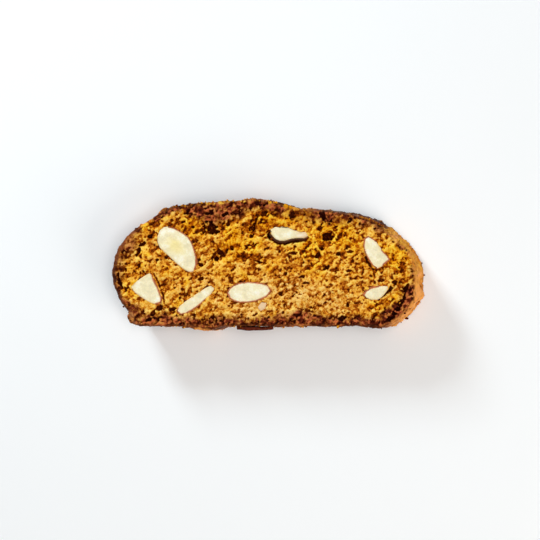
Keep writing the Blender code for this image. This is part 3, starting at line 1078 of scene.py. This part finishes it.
class BiscottiDoughLook(bpy.types.PropertyGroup):
    """Sizes and colours of the baked dough."""

    mesh_step: length_property(
        "Mesh step", "Spacing of the points before the mesh is thinned out", 0.25, 0.2, 2.0
    )
    crumb_depth: bpy.props.FloatProperty(
        name="Crumb depth",
        description="How strongly the cut faces are torn, where 1 is as baked",
        default=1.0,
        min=0.0,
        max=1.5,
        subtype="FACTOR",
    )
    wrinkle: length_property(
        "Crust wrinkles", "Height of the wrinkles and blisters of the crust", 0.28, 0.0, 0.8
    )
    triangles: count_property(
        "Triangles", "Most triangles that the dough keeps", 197000, 20000, 199000
    )
    seed: count_property("Seed", "Start of the random draws of the crumb", 11)
    # Pits and peaks stand partly for light: the pit colour is the crumb's brown darkened as painted shade,
    # and the peak colours are lighter as painted highlight
    pit_colour: colour_property("Pits", "Colour deep in the holes", linear(62, 14, 0))
    shade_colour: colour_property("Shade", "Colour of the sides of the pores", linear(178, 82, 0))
    crumb_colour: colour_property("Crumb", "Colour of the moist golden crumb", linear(238, 157, 10))
    peak_colour: colour_property("Peaks", "Colour of the raised golden grains", linear(255, 212, 66))
    tan_colour: colour_property("Fine crumb", "Colour of the fine dry crumb", linear(230, 164, 58))
    pale_crumb_colour: colour_property(
        "Pale crumb", "Colour of the raised dry grains", linear(255, 216, 132)
    )
    toast_colour: colour_property("Toast", "Colour of the browned crumb", linear(104, 36, 16))
    amber_colour: colour_property("Amber", "Colour of the raised browned grains", linear(200, 104, 54))
    burnt_colour: colour_property("Burnt", "Darkest colour of the crust", linear(42, 5, 1))
    crust_colour: colour_property("Crust", "Colour of the baked crust", linear(138, 74, 36))
    pale_crust_colour: colour_property(
        "Pale crust", "Colour of the crust at the smooth end", linear(236, 154, 70)
    )
    # The colour of the painted sheen, a painted highlight on the glossy crust
    painted_sheen_colour: colour_property("Sheen", "Colour of the glossy purplish crust", linear(156, 116, 88))


class BiscottiAlmondLook(bpy.types.PropertyGroup):
    """Sizes and colours of the almond pieces."""

    mesh_step: length_property("Mesh step", "Spacing of the points of an almond piece", 0.24, 0.15, 2.0)
    relief: length_property("Relief", "Height of the marks on the cut almond faces", 0.16, 0.0, 0.4)
    flesh_colour: colour_property("Flesh", "Colour of the almond's flesh", linear(246, 232, 190))
    pale_colour: colour_property("Pale flesh", "Colour of its palest parts", linear(255, 249, 228))
    heart_colour: colour_property("Heart", "Colour in the middle of a whole kernel", linear(250, 226, 134))
    rim_colour: colour_property("Rim", "Colour close to the skin", linear(240, 212, 150))
    skin_colour: colour_property("Skin", "Colour of the brown skin", linear(182, 102, 62))
    blush_colour: colour_property("Blush", "Colour of the chip's browned flesh", linear(226, 172, 128))


class BiscottiBitsLook(bpy.types.PropertyGroup):
    """Sizes of the crumbs and flakes that cling to the slice."""

    seed: count_property("Seed", "Start of the random draws of the crumbs", 5)
    count: count_property("Crumbs", "How many crumbs cling to the rims", 180)
    smallest: length_property("Smallest crumb", "Radius of the smallest crumbs", 0.14, 0.05, 1.0)
    largest: length_property("Largest crumb", "Radius of the largest crumbs", 0.5, 0.05, 1.5)


class BiscottiStageLook(bpy.types.PropertyGroup):
    """Floor, lights and camera."""

    floor_colour: colour_property("Floor", "Colour of the floor", (0.97, 0.97, 0.97))
    key_power: power_property("Key light", "Power of the soft light at the upper left", 4.6)
    fill_power: power_property("Fill light", "Power of the soft light at the lower right", 2.2)
    overhead_power: power_property("Overhead light", "Power of the broad light above", 3.85)
    sky: bpy.props.FloatProperty(
        name="Sky",
        description="Strength of the even light from all sides",
        default=0.15,
        min=0.0,
    )
    lens: bpy.props.FloatProperty(
        name="Lens",
        description="Focal length in millimetres",
        default=111.7,
        min=10.0,
        unit="CAMERA",
    )


# Builders


def crumb_faces(look, points, wall):
    """The grids of both cut faces, from the wall's points near each of them."""
    faces = []
    for low, high, seed, holes, crevices, clumps, regions, shift in (
        (*UPPER_RING, look.seed, UPPER_HOLES, UPPER_CREVICES, CLUMPS, COARSENESS, 0.0),
        (*LOWER_RING, look.seed + 50, LOWER_HOLES, (), (), (), 0.15),
    ):
        ring = wall & (points[:, 2] > low) & (points[:, 2] < high)
        outline = points[ring][::3, :2]
        faces.append(cut_face(outline, seed, holes, crevices, clumps, regions, shift))
    return faces


def crust_relief(points, wrinkle):
    """How far the crust stands out from its even shape, in millimetres, and how deep its cracks are."""
    swell = rough_noise(points, 4.0, 41) * 0.9
    wrinkles = rough_noise(points * np.array((1.0, 1.0, 0.7)), 1.4, 42)
    nearest, second = cell_noise(points + 0.8 * wrinkles[:, None], 3.4, 43)
    cracks = 1.0 - eased(second - nearest, 0.0, 0.16)
    cracks *= eased(soft_noise(points, 7.0, 44), -0.1, 0.35)
    pores = 1.0 - eased(cell_noise(points, 1.3, 45)[0], 0.1, 0.42)
    pores *= eased(soft_noise(points, 5.0, 46), -0.2, 0.4)
    lift = wrinkle * (swell + 0.8 * wrinkles - 1.3 * cracks - 1.1 * pores)
    return lift, np.maximum(cracks, 0.8 * pores)


def build_dough(look):
    mesh = closed_up(merged_copy("dough"), "dough_base")
    mesh = with_modifier(mesh, "REMESH", mode="VOXEL", voxel_size=look.mesh_step, adaptivity=0.0)
    points = points_of(mesh)
    normals = normals_of(mesh)
    almond = almond_distance(points)
    upright = np.abs(normals[:, 2])
    wall = (upright < 0.6) & (almond > POCKET_REACH)
    upper, lower = crumb_faces(look, points, wall)

    # How far the crumb of each cut face lifts or sinks the points, except where the slice rests
    x, y, z = points.T
    high = eased(z, THICKNESS - 4.2, THICKNESS - 0.9)
    low = 1.0 - eased(z, 0.6, 4.0)
    near_rest = np.hypot(x - REST_CENTRE[0], y - REST_CENTRE[1])
    clear = eased(near_rest, REST_RADIUS * 0.6, REST_RADIUS * 1.3)
    lift = look.crumb_depth * high * sampled(upper["height"], x, y)
    lift -= look.crumb_depth * low * clear * (sampled(lower["height"], x, y) - 0.12)

    # How far the crust, its ragged rims, its bare patches and its dents move the wall
    side = (1.0 - eased(upright, 0.45, 0.8)) * eased(almond, 0.5, 1.0)
    relief, cracks = crust_relief(points, look.wrinkle / MM)
    rim = 1.0 - eased(THICKNESS / 2 - np.abs(z - THICKNESS / 2), 0.4, 2.6)
    relief += rim * (0.42 * rough_noise(points, 1.2, 47) + 0.3 * soft_noise(points, 2.8, 48))
    bare = wall_patches(points, BARE_PATCHES)
    relief += bare * (0.6 * rough_noise(points, 1.5, 49) + 0.25 * soft_noise(points, 0.7, 52))
    for dent_x, dent_y, dent_z, reach, depth in DENTS:
        away = np.linalg.norm(points - np.array((dent_x, dent_y, dent_z)), axis=1) / reach
        relief -= depth * (1.0 - eased(away, 0.2, 1.1))

    # Move the points, and close the pockets in on their almonds
    outwards = normals * np.array((1.0, 1.0, 0.25))
    moved = points + outwards * (relief * side)[:, None]
    pocket = (1.0 - eased(upright, 0.5, 0.9)) * (1.0 - eased(almond, 0.4, 0.6))
    closing = 0.22 + 0.1 * soft_noise(points, 1.6, 51)
    moved += normals * np.array((1.0, 1.0, 0.0)) * (closing * pocket)[:, None]
    moved[:, 2] += lift
    moved[:, 2] = np.clip(moved[:, 2], 0.0, THICKNESS + 0.2)
    move_points(mesh, moved)

    # Thin the mesh, least on the upper cut face, and find each kept point's facts again
    thinned = np.where((high > 0.6) & (upright > 0.5) & (almond > 0.3), 0.3, 1.0)
    goal = look.triangles / len(triangles_of(mesh))
    facts = np.column_stack((upright * np.sign(normals[:, 2]), almond, side, cracks, points[:, 2]))
    tree = kdtree.KDTree(len(moved))
    for index, place in enumerate(moved):
        tree.insert(place, index)
    tree.balance()
    mesh = with_modifier(
        mesh, "DECIMATE", weights=thinned, ratio=min(1.0, goal), use_collapse_triangulate=True
    )
    final = points_of(mesh)
    final[:, 2] = np.clip(final[:, 2], 0.0, HIGHEST)
    move_points(mesh, final)
    facts = facts[[tree.find(place)[1] for place in final]]
    paint_dough(mesh, final, facts, upper, lower)
    lay_out(mesh, final, facts[:, 0], facts[:, 1])
    return mesh


def unrolled(turns, whole):
    """Each face's places on a ring, moved so that its corners stay together, with its middle on the ring."""
    first = turns[:, :1]
    together = first + (turns - first + whole / 2) % whole - whole / 2
    middle = together.mean(axis=1, keepdims=True)
    return together - np.floor(middle / whole) * whole


def lay_out(mesh, points, facing, almond):
    """Lays the faces out flat: cut faces as seen from above, the wall and the almond pockets as strips."""
    # The cut faces, one above the other
    corners = triangles_of(mesh)
    spots = points[corners]
    upwards = facing[corners].mean(axis=1)
    deep = almond[corners].mean(axis=1) < POCKET_REACH
    upright = np.abs(upwards) < 0.5
    under = upwards < -0.5
    wall = upright & ~deep
    flat = spots[..., :2] - np.array(GRID_LOW) - 2.0
    flat[under] += (0.0, UNDER_ROW)

    # The wall in two strips, by the measured way round it
    leaned = points[:, 0] - SLANT * (1.0 - points[:, 2] / THICKNESS)
    around = np.degrees(np.arctan2(points[:, 1], leaned)) % 360.0
    ring = (np.abs(facing) < 0.5) & (almond > POCKET_REACH)
    count = round(360.0 / RING_STEP)
    steps = RING_STEP * np.arange(count + 1)
    number = np.round(around[ring] / RING_STEP).astype(int) % count
    reach = np.hypot(leaned, points[:, 1])[ring]
    reach = np.bincount(number, reach, count) / np.bincount(number, minlength=count)
    reach = np.append(reach, reach[0])
    outline = reach[:, None] * np.column_stack((np.cos(np.radians(steps)), np.sin(np.radians(steps))))
    arc = np.append(0.0, np.cumsum(np.hypot(*np.diff(outline, axis=0).T)))
    along = unrolled(np.interp(around, steps, arc)[corners], arc[-1])[wall]
    half = arc[-1] / 2
    strip = (along.mean(axis=1, keepdims=True) > half).astype(float)
    flat[wall, :, 0] = LAYOUT_GAP + (along - strip * half) * (LAYOUT - 2 * LAYOUT_GAP) / half
    flat[wall, :, 1] = WALL_ROW + strip * WALL_ROOM + spots[wall, :, 2]

    # The almond pockets, each in a narrow room of its own
    for index, node in enumerate(ALMONDS):
        low, high = (np.array(corner)[:2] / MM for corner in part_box(node))
        middle = (low + high) / 2
        centre = spots.mean(axis=1)[:, :2]
        mine = upright & deep & np.all((centre > low - 1.0) & (centre < high + 1.0), axis=1)
        turn = np.arctan2(spots[mine, :, 1] - middle[1], spots[mine, :, 0] - middle[0])
        turn = unrolled(turn / math.tau, 1.0)
        column, row = POCKET_COLUMN + POCKET_ROOM[0] * (index % 4), POCKET_ROOM[1] * (index // 4)
        flat[mine, :, 0] = column + spots[mine, :, 2] / THICKNESS * (POCKET_ROOM[0] - LAYOUT_GAP)
        flat[mine, :, 1] = LAYOUT_GAP + row + turn * (POCKET_ROOM[1] - 2 * LAYOUT_GAP)
    layer = mesh.uv_layers.new(name="OFBake")
    layer.data.foreach_set("uv", (flat / LAYOUT).astype(np.float32).ravel())


def wall_patches(points, patches):
    """The strongest of the round patches of the wall at each point."""
    strongest = np.zeros(len(points))
    for x, y, reach, amount in patches:
        from_x = points[:, 0] - x - SLANT * (1.0 - points[:, 2] / THICKNESS)
        away = np.hypot(from_x, points[:, 1] - y) / reach
        away = away + 0.35 * soft_noise(points, 1.5, 63)
        strongest = np.maximum(strongest, amount * (1.0 - eased(away, 0.5, 1.05)))
    return strongest


def paint_dough(mesh, points, facts, upper, lower):
    """Stores how light (with painted light and shade), browned, warm and crusty each point is, and where
    painted sheen lies on the crust, for the material to read.
    """
    _, almond, side, cracks, height = facts.T
    x, y, _ = points.T
    top = height > THICKNESS / 2
    band = THICKNESS / 2 - np.abs(height - THICKNESS / 2)
    ragged = 0.35 * soft_noise(points, 1.2, 61) + 0.25
    wall = side * eased(band, ragged - 0.1, ragged + 0.5)
    torn_low = eased(points[:, 2] + 2.4 * rough_noise(points, 3.0, 69), 4.0, 9.0)
    bare = wall_patches(points, BARE_PATCHES) * np.maximum(torn_low, eased(x, 34.0, 40.0))
    wall_tone = 0.64 + 0.24 * rough_noise(points, 1.0, 64) + 0.3 * rough_noise(points, 1.5, 49)
    wall_toast = 0.14 + 0.5 * rough_noise(points, 2.6, 65)
    edge = np.where(top, sampled(upper["edge"], x, y), sampled(lower["edge"], x, y))
    edge = edge + 0.45 * soft_noise(points, 1.3, 68)
    golden = wall_patches(points, GOLDEN_RIM) * (1.0 - eased(edge, 0.4, 1.0))
    golden = golden * eased(points[:, 2], 11.0, 13.0) * eased(soft_noise(points, 1.1, 70), -0.5, 0.1)
    for name, on_wall, on_rim in (
        ("tone", wall_tone, 0.1),
        ("toast", wall_toast, -1.0),
        ("warmth", 0.9, 0.2),
    ):
        values = np.where(top, sampled(upper[name], x, y), sampled(lower[name], x, y))
        values = values * (1.0 - wall) + on_wall * wall + on_rim * golden
        store(mesh, name, np.clip(values, 0.0, 1.0))
    rim = (1.0 - eased(edge, 0.1, 1.0)) * (almond > POCKET_REACH)
    store(mesh, "crust", np.maximum(wall, rim) * (1.0 - 0.66 * bare) * (1.0 - golden))
    # Painted sheen high on the wall: a painted highlight where the glossy crust catches the light
    painted_sheen = wall_patches(points, PAINTED_SHEEN_PATCHES) * eased(rough_noise(points, 1.6, 66), -0.5, 0.5)
    store(mesh, "painted_sheen", painted_sheen * eased(points[:, 2], 9.5, 12.5))
    smooth_end = eased(x, 37.0, 45.0) * eased(-y, -15.0, -9.0)
    # The crust is painted darker in its cracks and pores, as painted shade
    bake = 0.66 + 0.3 * rough_noise(points, 7.0, 62) + 0.3 * cracks + 0.15 * rough_noise(points, 1.6, 67)
    bake -= 0.58 * smooth_end + 0.5 * wall_patches(points, PALE_PATCHES)
    bake += wall_patches(points, DARK_PATCHES) - 0.4 * bare
    store(mesh, "bake", np.clip(bake, 0.0, 1.0))


def skin_width(points, middle, node):
    """How many millimetres of skin show at each place round an almond piece."""
    angle = np.degrees(np.arctan2(points[:, 1] - middle[1], points[:, 0] - middle[0]))
    shown = np.zeros(len(points))
    for name, start, end, width, _ in SKINS:
        if name != node:
            continue
        turn = (end - start) % 360.0 or 360.0
        along = (angle - start) % 360.0
        ends = np.minimum(along, turn - along) if turn < 360.0 else np.full(len(points), 90.0)
        shown = np.maximum(shown, width * eased(ends, 0.0, 12.0) * (along <= turn))
    return shown


def build_almond(look, node, index):
    mesh = closed_up(merged_copy(node), node)
    mesh = with_modifier(mesh, "REMESH", mode="VOXEL", voxel_size=look.mesh_step, adaptivity=0.0)
    points, normals = points_of(mesh), normals_of(mesh)
    upright = np.abs(normals[:, 2])
    face = eased(upright, 0.5, 0.9)
    rough = look.relief / MM
    seed = 71 + 7 * index
    marks = rough_noise(points * np.array((1.0, 1.0, 0.3)), 2.4, seed) * 0.7
    marks += soft_noise(points, 0.7, seed + 1) * 0.35
    sides = rough_noise(points, 1.1, seed + 2) * 0.35
    push = rough * (marks * face + sides * (1.0 - face)) + 0.14 * (1.0 - face) - 0.04 * face
    moved = points + normals * push[:, None]
    moved[:, 2] = np.clip(moved[:, 2], 0.0, HIGHEST)
    move_points(mesh, moved)
    tree = kdtree.KDTree(len(points))
    for number in np.nonzero(upright < 0.5)[0]:
        tree.insert(points[number], int(number))
    tree.balance()
    inwards = np.array([tree.find(place)[2] for place in points])
    middle = points[:, :2].mean(axis=0)
    heart_x, heart_y, length, width, turn = HEART
    away = np.sqrt(oval(points[:, 0] - heart_x, points[:, 1] - heart_y, length, width, math.radians(turn)))
    away = away + 0.2 * soft_noise(points, 1.6, seed + 5)
    uneven = 0.1 * soft_noise(points, 1.2, seed + 3)
    shown = skin_width(points, middle, node) * (1.0 + 0.3 * soft_noise(points, 1.5, seed + 4))
    store(mesh, "heart", 0.55 * (1.0 - eased(away, 0.3, 1.3)))
    store(mesh, "edge", (1.0 - eased(inwards + uneven, 0.1, 0.9)) * 0.6)
    store(mesh, "skin", (1.0 - eased(inwards, shown * 0.75, shown * 1.15 + 0.05)) * eased(shown, 0.1, 0.25))
    store(mesh, "dark", np.full(len(points), 1.0 if node == DARK_SKIN_AND_SHADE else 0.0))
    tail = 0.35 * eased(points[:, 0], 7.0, 12.0) if node == DARK_SKIN_AND_SHADE else 0.0
    store(mesh, "blush", np.full(len(points), 0.55 if node == BROWNED else 0.0) + tail)
    return mesh


def build_skins():
    """Thin skins standing in the gaps round the almond pieces."""
    whole = bmesh.new()
    dark = []
    for number, (node, start, end, width, off) in enumerate(SKINS):
        shape = merged_copy(node)
        # Only the sides of the almond piece, and of those only the stretch with skin
        caps = [face for face in shape.faces if abs(face.normal.z) > 0.7]
        bmesh.ops.delete(shape, geom=caps, context="FACES")
        bmesh.ops.subdivide_edges(shape, edges=shape.edges, cuts=3, use_grid_fill=True)
        middle = sum((vert.co for vert in shape.verts), Vector()) / len(shape.verts)
        turn = (end - start) % 360.0 or 360.0
        drop = []
        for face in shape.faces:
            away = face.calc_center_median() - middle
            angle = (math.degrees(math.atan2(away.y, away.x)) - start) % 360.0
            if angle > turn:
                drop.append(face)
        bmesh.ops.delete(shape, geom=drop, context="FACES")
        bmesh.ops.recalc_face_normals(shape, faces=shape.faces)
        shape.normal_update()

        # Off the flesh in waves, thickened, then roughened
        places = np.array([vert.co / MM for vert in shape.verts])
        wave = rough_noise(places, 1.6, 300 + number) * (0.03 + 0.2 * off) + off
        top = rough_noise(places * np.array((1.0, 1.0, 0.0)), 1.8, 330 + number) * 0.22
        for vert, push, lift in zip(list(shape.verts), wave, top):
            outwards = Vector((vert.co.x - middle.x, vert.co.y - middle.y, 0.0)).normalized()
            facing = Vector((vert.normal.x, vert.normal.y, 0.0))
            if facing.dot(outwards) < 0.0:
                facing.negate()
            vert.co += facing * float(push) * MM
            if vert.co.z > (THICKNESS - 0.4) * MM:
                vert.co.z += float(lift - 0.1) * MM
        bmesh.ops.solidify(shape, geom=shape.faces[:], thickness=(0.14 + 0.15 * width + 1.35 * off) * MM)
        shape.normal_update()
        places = np.array([vert.co / MM for vert in shape.verts])
        fuzz = rough_noise(places, 0.7, 360 + number) * (0.02 + 0.5 * off)
        for vert, push in zip(list(shape.verts), fuzz):
            vert.co += vert.normal * float(push) * MM
            vert.co.z = min(max(vert.co.z, SKIN_FOOT * MM), HIGHEST * MM)
        dark.extend([1.0 if node == DARK_SKIN_AND_SHADE else 0.0] * len(shape.verts))
        add_to(whole, shape)
    bmesh.ops.recalc_face_normals(whole, faces=whole.faces)
    made = closed_up(whole, "almond_skins")
    store(made, "dark", dark)
    return made


def wall_places(random, count):
    """Random places on the crust wall with the way out of it there, in millimetres."""
    shape = merged_copy("dough")
    faces = [face for face in shape.faces if abs(face.normal.z) < 0.5]
    middles = np.array([face.calc_center_median() / MM for face in faces])
    outer = almond_distance(middles) > POCKET_REACH
    faces = [face for face, keep in zip(faces, outer) if keep]
    areas = np.array([face.calc_area() for face in faces])
    picks = random.choice(len(faces), count, p=areas / areas.sum())
    shares = random.dirichlet((1.0, 1.0, 1.0), count)
    places = np.array([
        sum((vert.co * float(part) for vert, part in zip(faces[pick].verts, share)), Vector()) / MM
        for pick, share in zip(picks, shares)
    ])
    ways = np.array([faces[pick].normal for pick in picks])
    shape.free()
    return places, ways


def dough_surface():
    """The finished dough's faces, for finding the nearest place on them."""
    piece = bpy.data.objects.get("baked_dough")
    if piece is None:
        raise RuntimeError("The baked dough has to be built before the crumbs that cling to it")
    return BVHTree.FromPolygons([vert.co for vert in piece.data.vertices], triangles_of(piece.data).tolist())


def settled(surface, place, radius, sunk):
    """The middle of a crumb that sits on the dough near the place, sunk into it by a share of its radius."""
    spot, way, _, _ = surface.find_nearest(Vector(place) * MM)
    middle = (np.array(spot) / MM) + np.array(way) * radius * (1.0 - sunk)
    middle[2] = np.clip(middle[2], radius * 1.5, THICKNESS + 0.35 - radius * 1.2)
    return middle


def add_crumb(whole, tints, random, place, radius, tint):
    """One crumb: a small lump with knocked-in corners, squeezed and turned at random."""
    made = bmesh.ops.create_icosphere(whole, subdivisions=2 if radius > 0.24 else 1, radius=radius * MM)
    turn = Matrix.Rotation(random.uniform(0.0, math.tau), 4, Vector(random.normal(size=3)).normalized())
    squeeze = Matrix.Diagonal((*random.uniform(0.65, 1.25, 3), 1.0))
    for vert in made["verts"]:
        vert.co *= float(random.uniform(0.72, 1.2))
    set_down = Matrix.Translation(Vector(place) * MM) @ turn @ squeeze
    bmesh.ops.transform(whole, matrix=set_down, verts=made["verts"])
    tints.extend([tint] * len(made["verts"]))


def build_crumbs(look):
    """Crumbs that cling to the rims of the cut faces, to the crust and here and there to the cut faces."""
    random = np.random.default_rng(look.seed)
    surface = dough_surface()
    whole = bmesh.new()
    tints = []
    places, ways = wall_places(random, look.count * 16)
    close = np.abs(places[:, 2] - THICKNESS / 2) > THICKNESS / 2 - random.exponential(1.3, len(places))
    smallest, largest = look.smallest / MM, look.largest / MM
    # Crumbs close to the rims
    for place, way in list(zip(places[close], ways[close]))[: look.count]:
        radius = smallest + (largest - smallest) * random.random() ** 3
        centre = settled(surface, place + 0.3 * way, radius, random.uniform(0.3, 0.8))
        add_crumb(whole, tints, random, centre, radius, random.choice((0.2, 0.3, 0.42, 0.55)))
    # The fringe of fine crumbs, and the crumbs with a place of their own
    x, y, z = places.T
    fringe = (y > FRINGE_LOW[1]) & (x > FRINGE_LOW[0]) & (x < FRINGE_HIGH) & (z > FRINGE_LOW[2])
    for place in places[fringe]:
        radius = smallest * random.uniform(0.9, 2.2)
        centre = settled(surface, place, radius, 0.5)
        add_crumb(whole, tints, random, centre, radius, random.uniform(0.3, 0.62))
    for x, y, z, radius, tint in STUCK_CRUMBS:
        add_crumb(whole, tints, random, settled(surface, (x, y, z), radius, 0.6), radius, tint)
    bmesh.ops.recalc_face_normals(whole, faces=whole.faces)
    mesh = closed_up(whole, "crumbs")
    store(mesh, "tint", tints)
    return mesh


def build_flakes():
    """Thin flakes of crust that have come loose: bent plates with ragged ends."""
    whole = bmesh.new()
    tints = []
    for number, (start, end, low, high, thickness, bend, tint) in enumerate(FLAKES):
        shape = bmesh.new()
        bmesh.ops.create_grid(shape, x_segments=30, y_segments=14, size=0.5)
        start, end = Vector(start), Vector(end)
        along = end - start
        outwards = Vector((along.y, -along.x)).normalized()
        places = np.array([vert.co for vert in shape.verts])
        ragged = soft_noise(places[:, :2] * np.array((7.0, 3.0)), 1.0, 400 + number)
        wave = soft_noise(places[:, :2] * 5.0, 1.0, 420 + number)
        for vert, rag, lift in zip(shape.verts, ragged, wave):
            share, rise = vert.co.x + 0.5, vert.co.y + 0.5
            narrow = 1.0 - 0.55 * (2.0 * abs(share - 0.5)) ** 3
            out = bend * math.sin(math.pi * share) * (0.4 + 0.6 * rise) + 0.18 * float(lift)
            spot = start + along * share + outwards * out
            middle = (low + high) / 2
            height = middle + (rise - 0.5) * (high - low) * narrow
            height += 0.35 * float(rag) * abs(2.0 * rise - 1.0)
            vert.co = Vector((spot.x, spot.y, height)) * MM
        shape.normal_update()
        bmesh.ops.solidify(shape, geom=shape.faces[:], thickness=thickness * MM)
        tints.extend([tint] * len(shape.verts))
        add_to(whole, shape)
    bmesh.ops.recalc_face_normals(whole, faces=whole.faces)
    made = closed_up(whole, "crust_flakes")
    store(made, "tint", tints)
    return made


# Operators


class BISCOTTI_OT_dough(bpy.types.Operator):
    """Build the baked dough with its torn cut faces and its crust"""

    bl_idname = "biscotti.dough"
    bl_label = "Baked dough"

    def execute(self, context):
        look = context.scene.biscotti_dough
        piece = add_piece("baked_dough", build_dough(look), dough_material(look))
        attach(piece, "root")
        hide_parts("dough")
        return {"FINISHED"}


class BISCOTTI_OT_almonds(bpy.types.Operator):
    """Build the almond pieces that show at the cut faces"""

    bl_idname = "biscotti.almonds"
    bl_label = "Almond pieces"

    def execute(self, context):
        look = context.scene.biscotti_almond
        material = almond_material(look)
        for index, node in enumerate(ALMONDS):
            piece = add_piece(f"{node}_piece", build_almond(look, node, index), material)
            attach(piece, "root")
            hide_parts(node)
        return {"FINISHED"}


class BISCOTTI_OT_skins(bpy.types.Operator):
    """Build the brown skins round the almond pieces"""

    bl_idname = "biscotti.skins"
    bl_label = "Almond skins"

    def execute(self, context):
        look = context.scene.biscotti_almond
        piece = add_piece("almond_skins", build_skins(), skin_material(look))
        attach(piece, "root")
        return {"FINISHED"}


class BISCOTTI_OT_bits(bpy.types.Operator):
    """Build the crumbs and the loose flakes of crust that cling to the slice"""

    bl_idname = "biscotti.bits"
    bl_label = "Crumbs and flakes"

    def execute(self, context):
        scene = context.scene
        material = crumbs_material(scene.biscotti_dough)
        crumbs = add_piece("stuck_crumbs", build_crumbs(scene.biscotti_bits), material)
        flakes = add_piece("crust_flakes", build_flakes(), material)
        for piece, slot in ((crumbs, "crumb"), (flakes, "crust")):
            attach(piece, "root")
        return {"FINISHED"}


class BISCOTTI_OT_stage(bpy.types.Operator):
    """Set out the floor, the lights and the camera"""

    bl_idname = "biscotti.stage"
    bl_label = "Stage"

    def execute(self, context):
        stage = context.scene.biscotti_stage
        shape = bmesh.new()
        bmesh.ops.create_grid(shape, x_segments=8, y_segments=8, size=FLOOR_REACH)
        floor = add_piece("floor", closed_up(shape, "floor"), floor_material(stage))

        world = bpy.data.worlds.new("pale_sky")
        world.use_nodes = True
        sky = world.node_tree.nodes["Background"]
        sky.inputs["Color"].default_value = (1.0, 0.99, 1.0, 1.0)
        sky.inputs["Strength"].default_value = stage.sky
        context.scene.world = world

        for name, place, size, power, colour in (
            ("key", (-0.42, 0.555, 0.281), 0.17, stage.key_power, (0.8, 0.93, 1.0)),
            ("fill", (0.5, -0.39, 0.35), 0.5, stage.fill_power, (1.0, 0.975, 0.92)),
            ("overhead", (0.05, -0.05, 0.9), 0.6, stage.overhead_power, (1.0, 0.985, 0.975)),
        ):
            light = bpy.data.lights.new(name, "AREA")
            light.energy = power
            light.size = size
            light.color = colour
            lamp = bpy.data.objects.new(name, light)
            context.scene.collection.objects.link(lamp)
            lamp.location = place
            aim = Vector((0.0, 0.0, 0.0)) - Vector(place)
            lamp.rotation_euler = aim.to_track_quat("-Z", "Y").to_euler()

        camera = bpy.data.cameras.new("camera")
        camera.lens = stage.lens
        camera.sensor_width = SENSOR_WIDTH
        eye = bpy.data.objects.new("camera", camera)
        eye.location = CAMERA_PLACE
        context.scene.collection.objects.link(eye)
        context.scene.camera = eye
        context.scene.view_settings.view_transform = "Standard"
        context.scene.view_settings.look = "None"
        return {"FINISHED"}


class BISCOTTI_PT_panel(bpy.types.Panel):
    """Settings and builders of the biscotti slice"""

    bl_idname = "BISCOTTI_PT_panel"
    bl_label = "Biscotti"
    bl_space_type = "VIEW_3D"
    bl_region_type = "UI"
    bl_category = "Biscotti"

    def draw(self, context):
        for name, label, operators in (
            ("biscotti_dough", "Dough", ("biscotti.dough",)),
            ("biscotti_almond", "Almonds", ("biscotti.almonds", "biscotti.skins")),
            ("biscotti_bits", "Crumbs and flakes", ("biscotti.bits",)),
            ("biscotti_stage", "Stage", ("biscotti.stage",)),
        ):
            box = self.layout.box()
            box.label(text=label)
            group = getattr(context.scene, name)
            for setting in group.__annotations__:
                box.prop(group, setting)
            for operator in operators:
                box.operator(operator)


CLASSES = (
    BiscottiDoughLook,
    BiscottiAlmondLook,
    BiscottiBitsLook,
    BiscottiStageLook,
    BISCOTTI_OT_dough,
    BISCOTTI_OT_almonds,
    BISCOTTI_OT_skins,
    BISCOTTI_OT_bits,
    BISCOTTI_OT_stage,
    BISCOTTI_PT_panel,
)

SETTINGS = {
    "biscotti_dough": BiscottiDoughLook,
    "biscotti_almond": BiscottiAlmondLook,
    "biscotti_bits": BiscottiBitsLook,
    "biscotti_stage": BiscottiStageLook,
}


def register():
    for item in CLASSES:
        bpy.utils.register_class(item)
    for name, group in SETTINGS.items():
        setattr(bpy.types.Scene, name, bpy.props.PointerProperty(type=group))


def unregister():
    for name in SETTINGS:
        delattr(bpy.types.Scene, name)
    for item in reversed(CLASSES):
        bpy.utils.unregister_class(item)


def main():
    register()
    bpy.ops.biscotti.dough()
    bpy.ops.biscotti.almonds()
    bpy.ops.biscotti.skins()
    bpy.ops.biscotti.bits()
    bpy.ops.biscotti.stage()


if __name__ == "__main__":
    main()
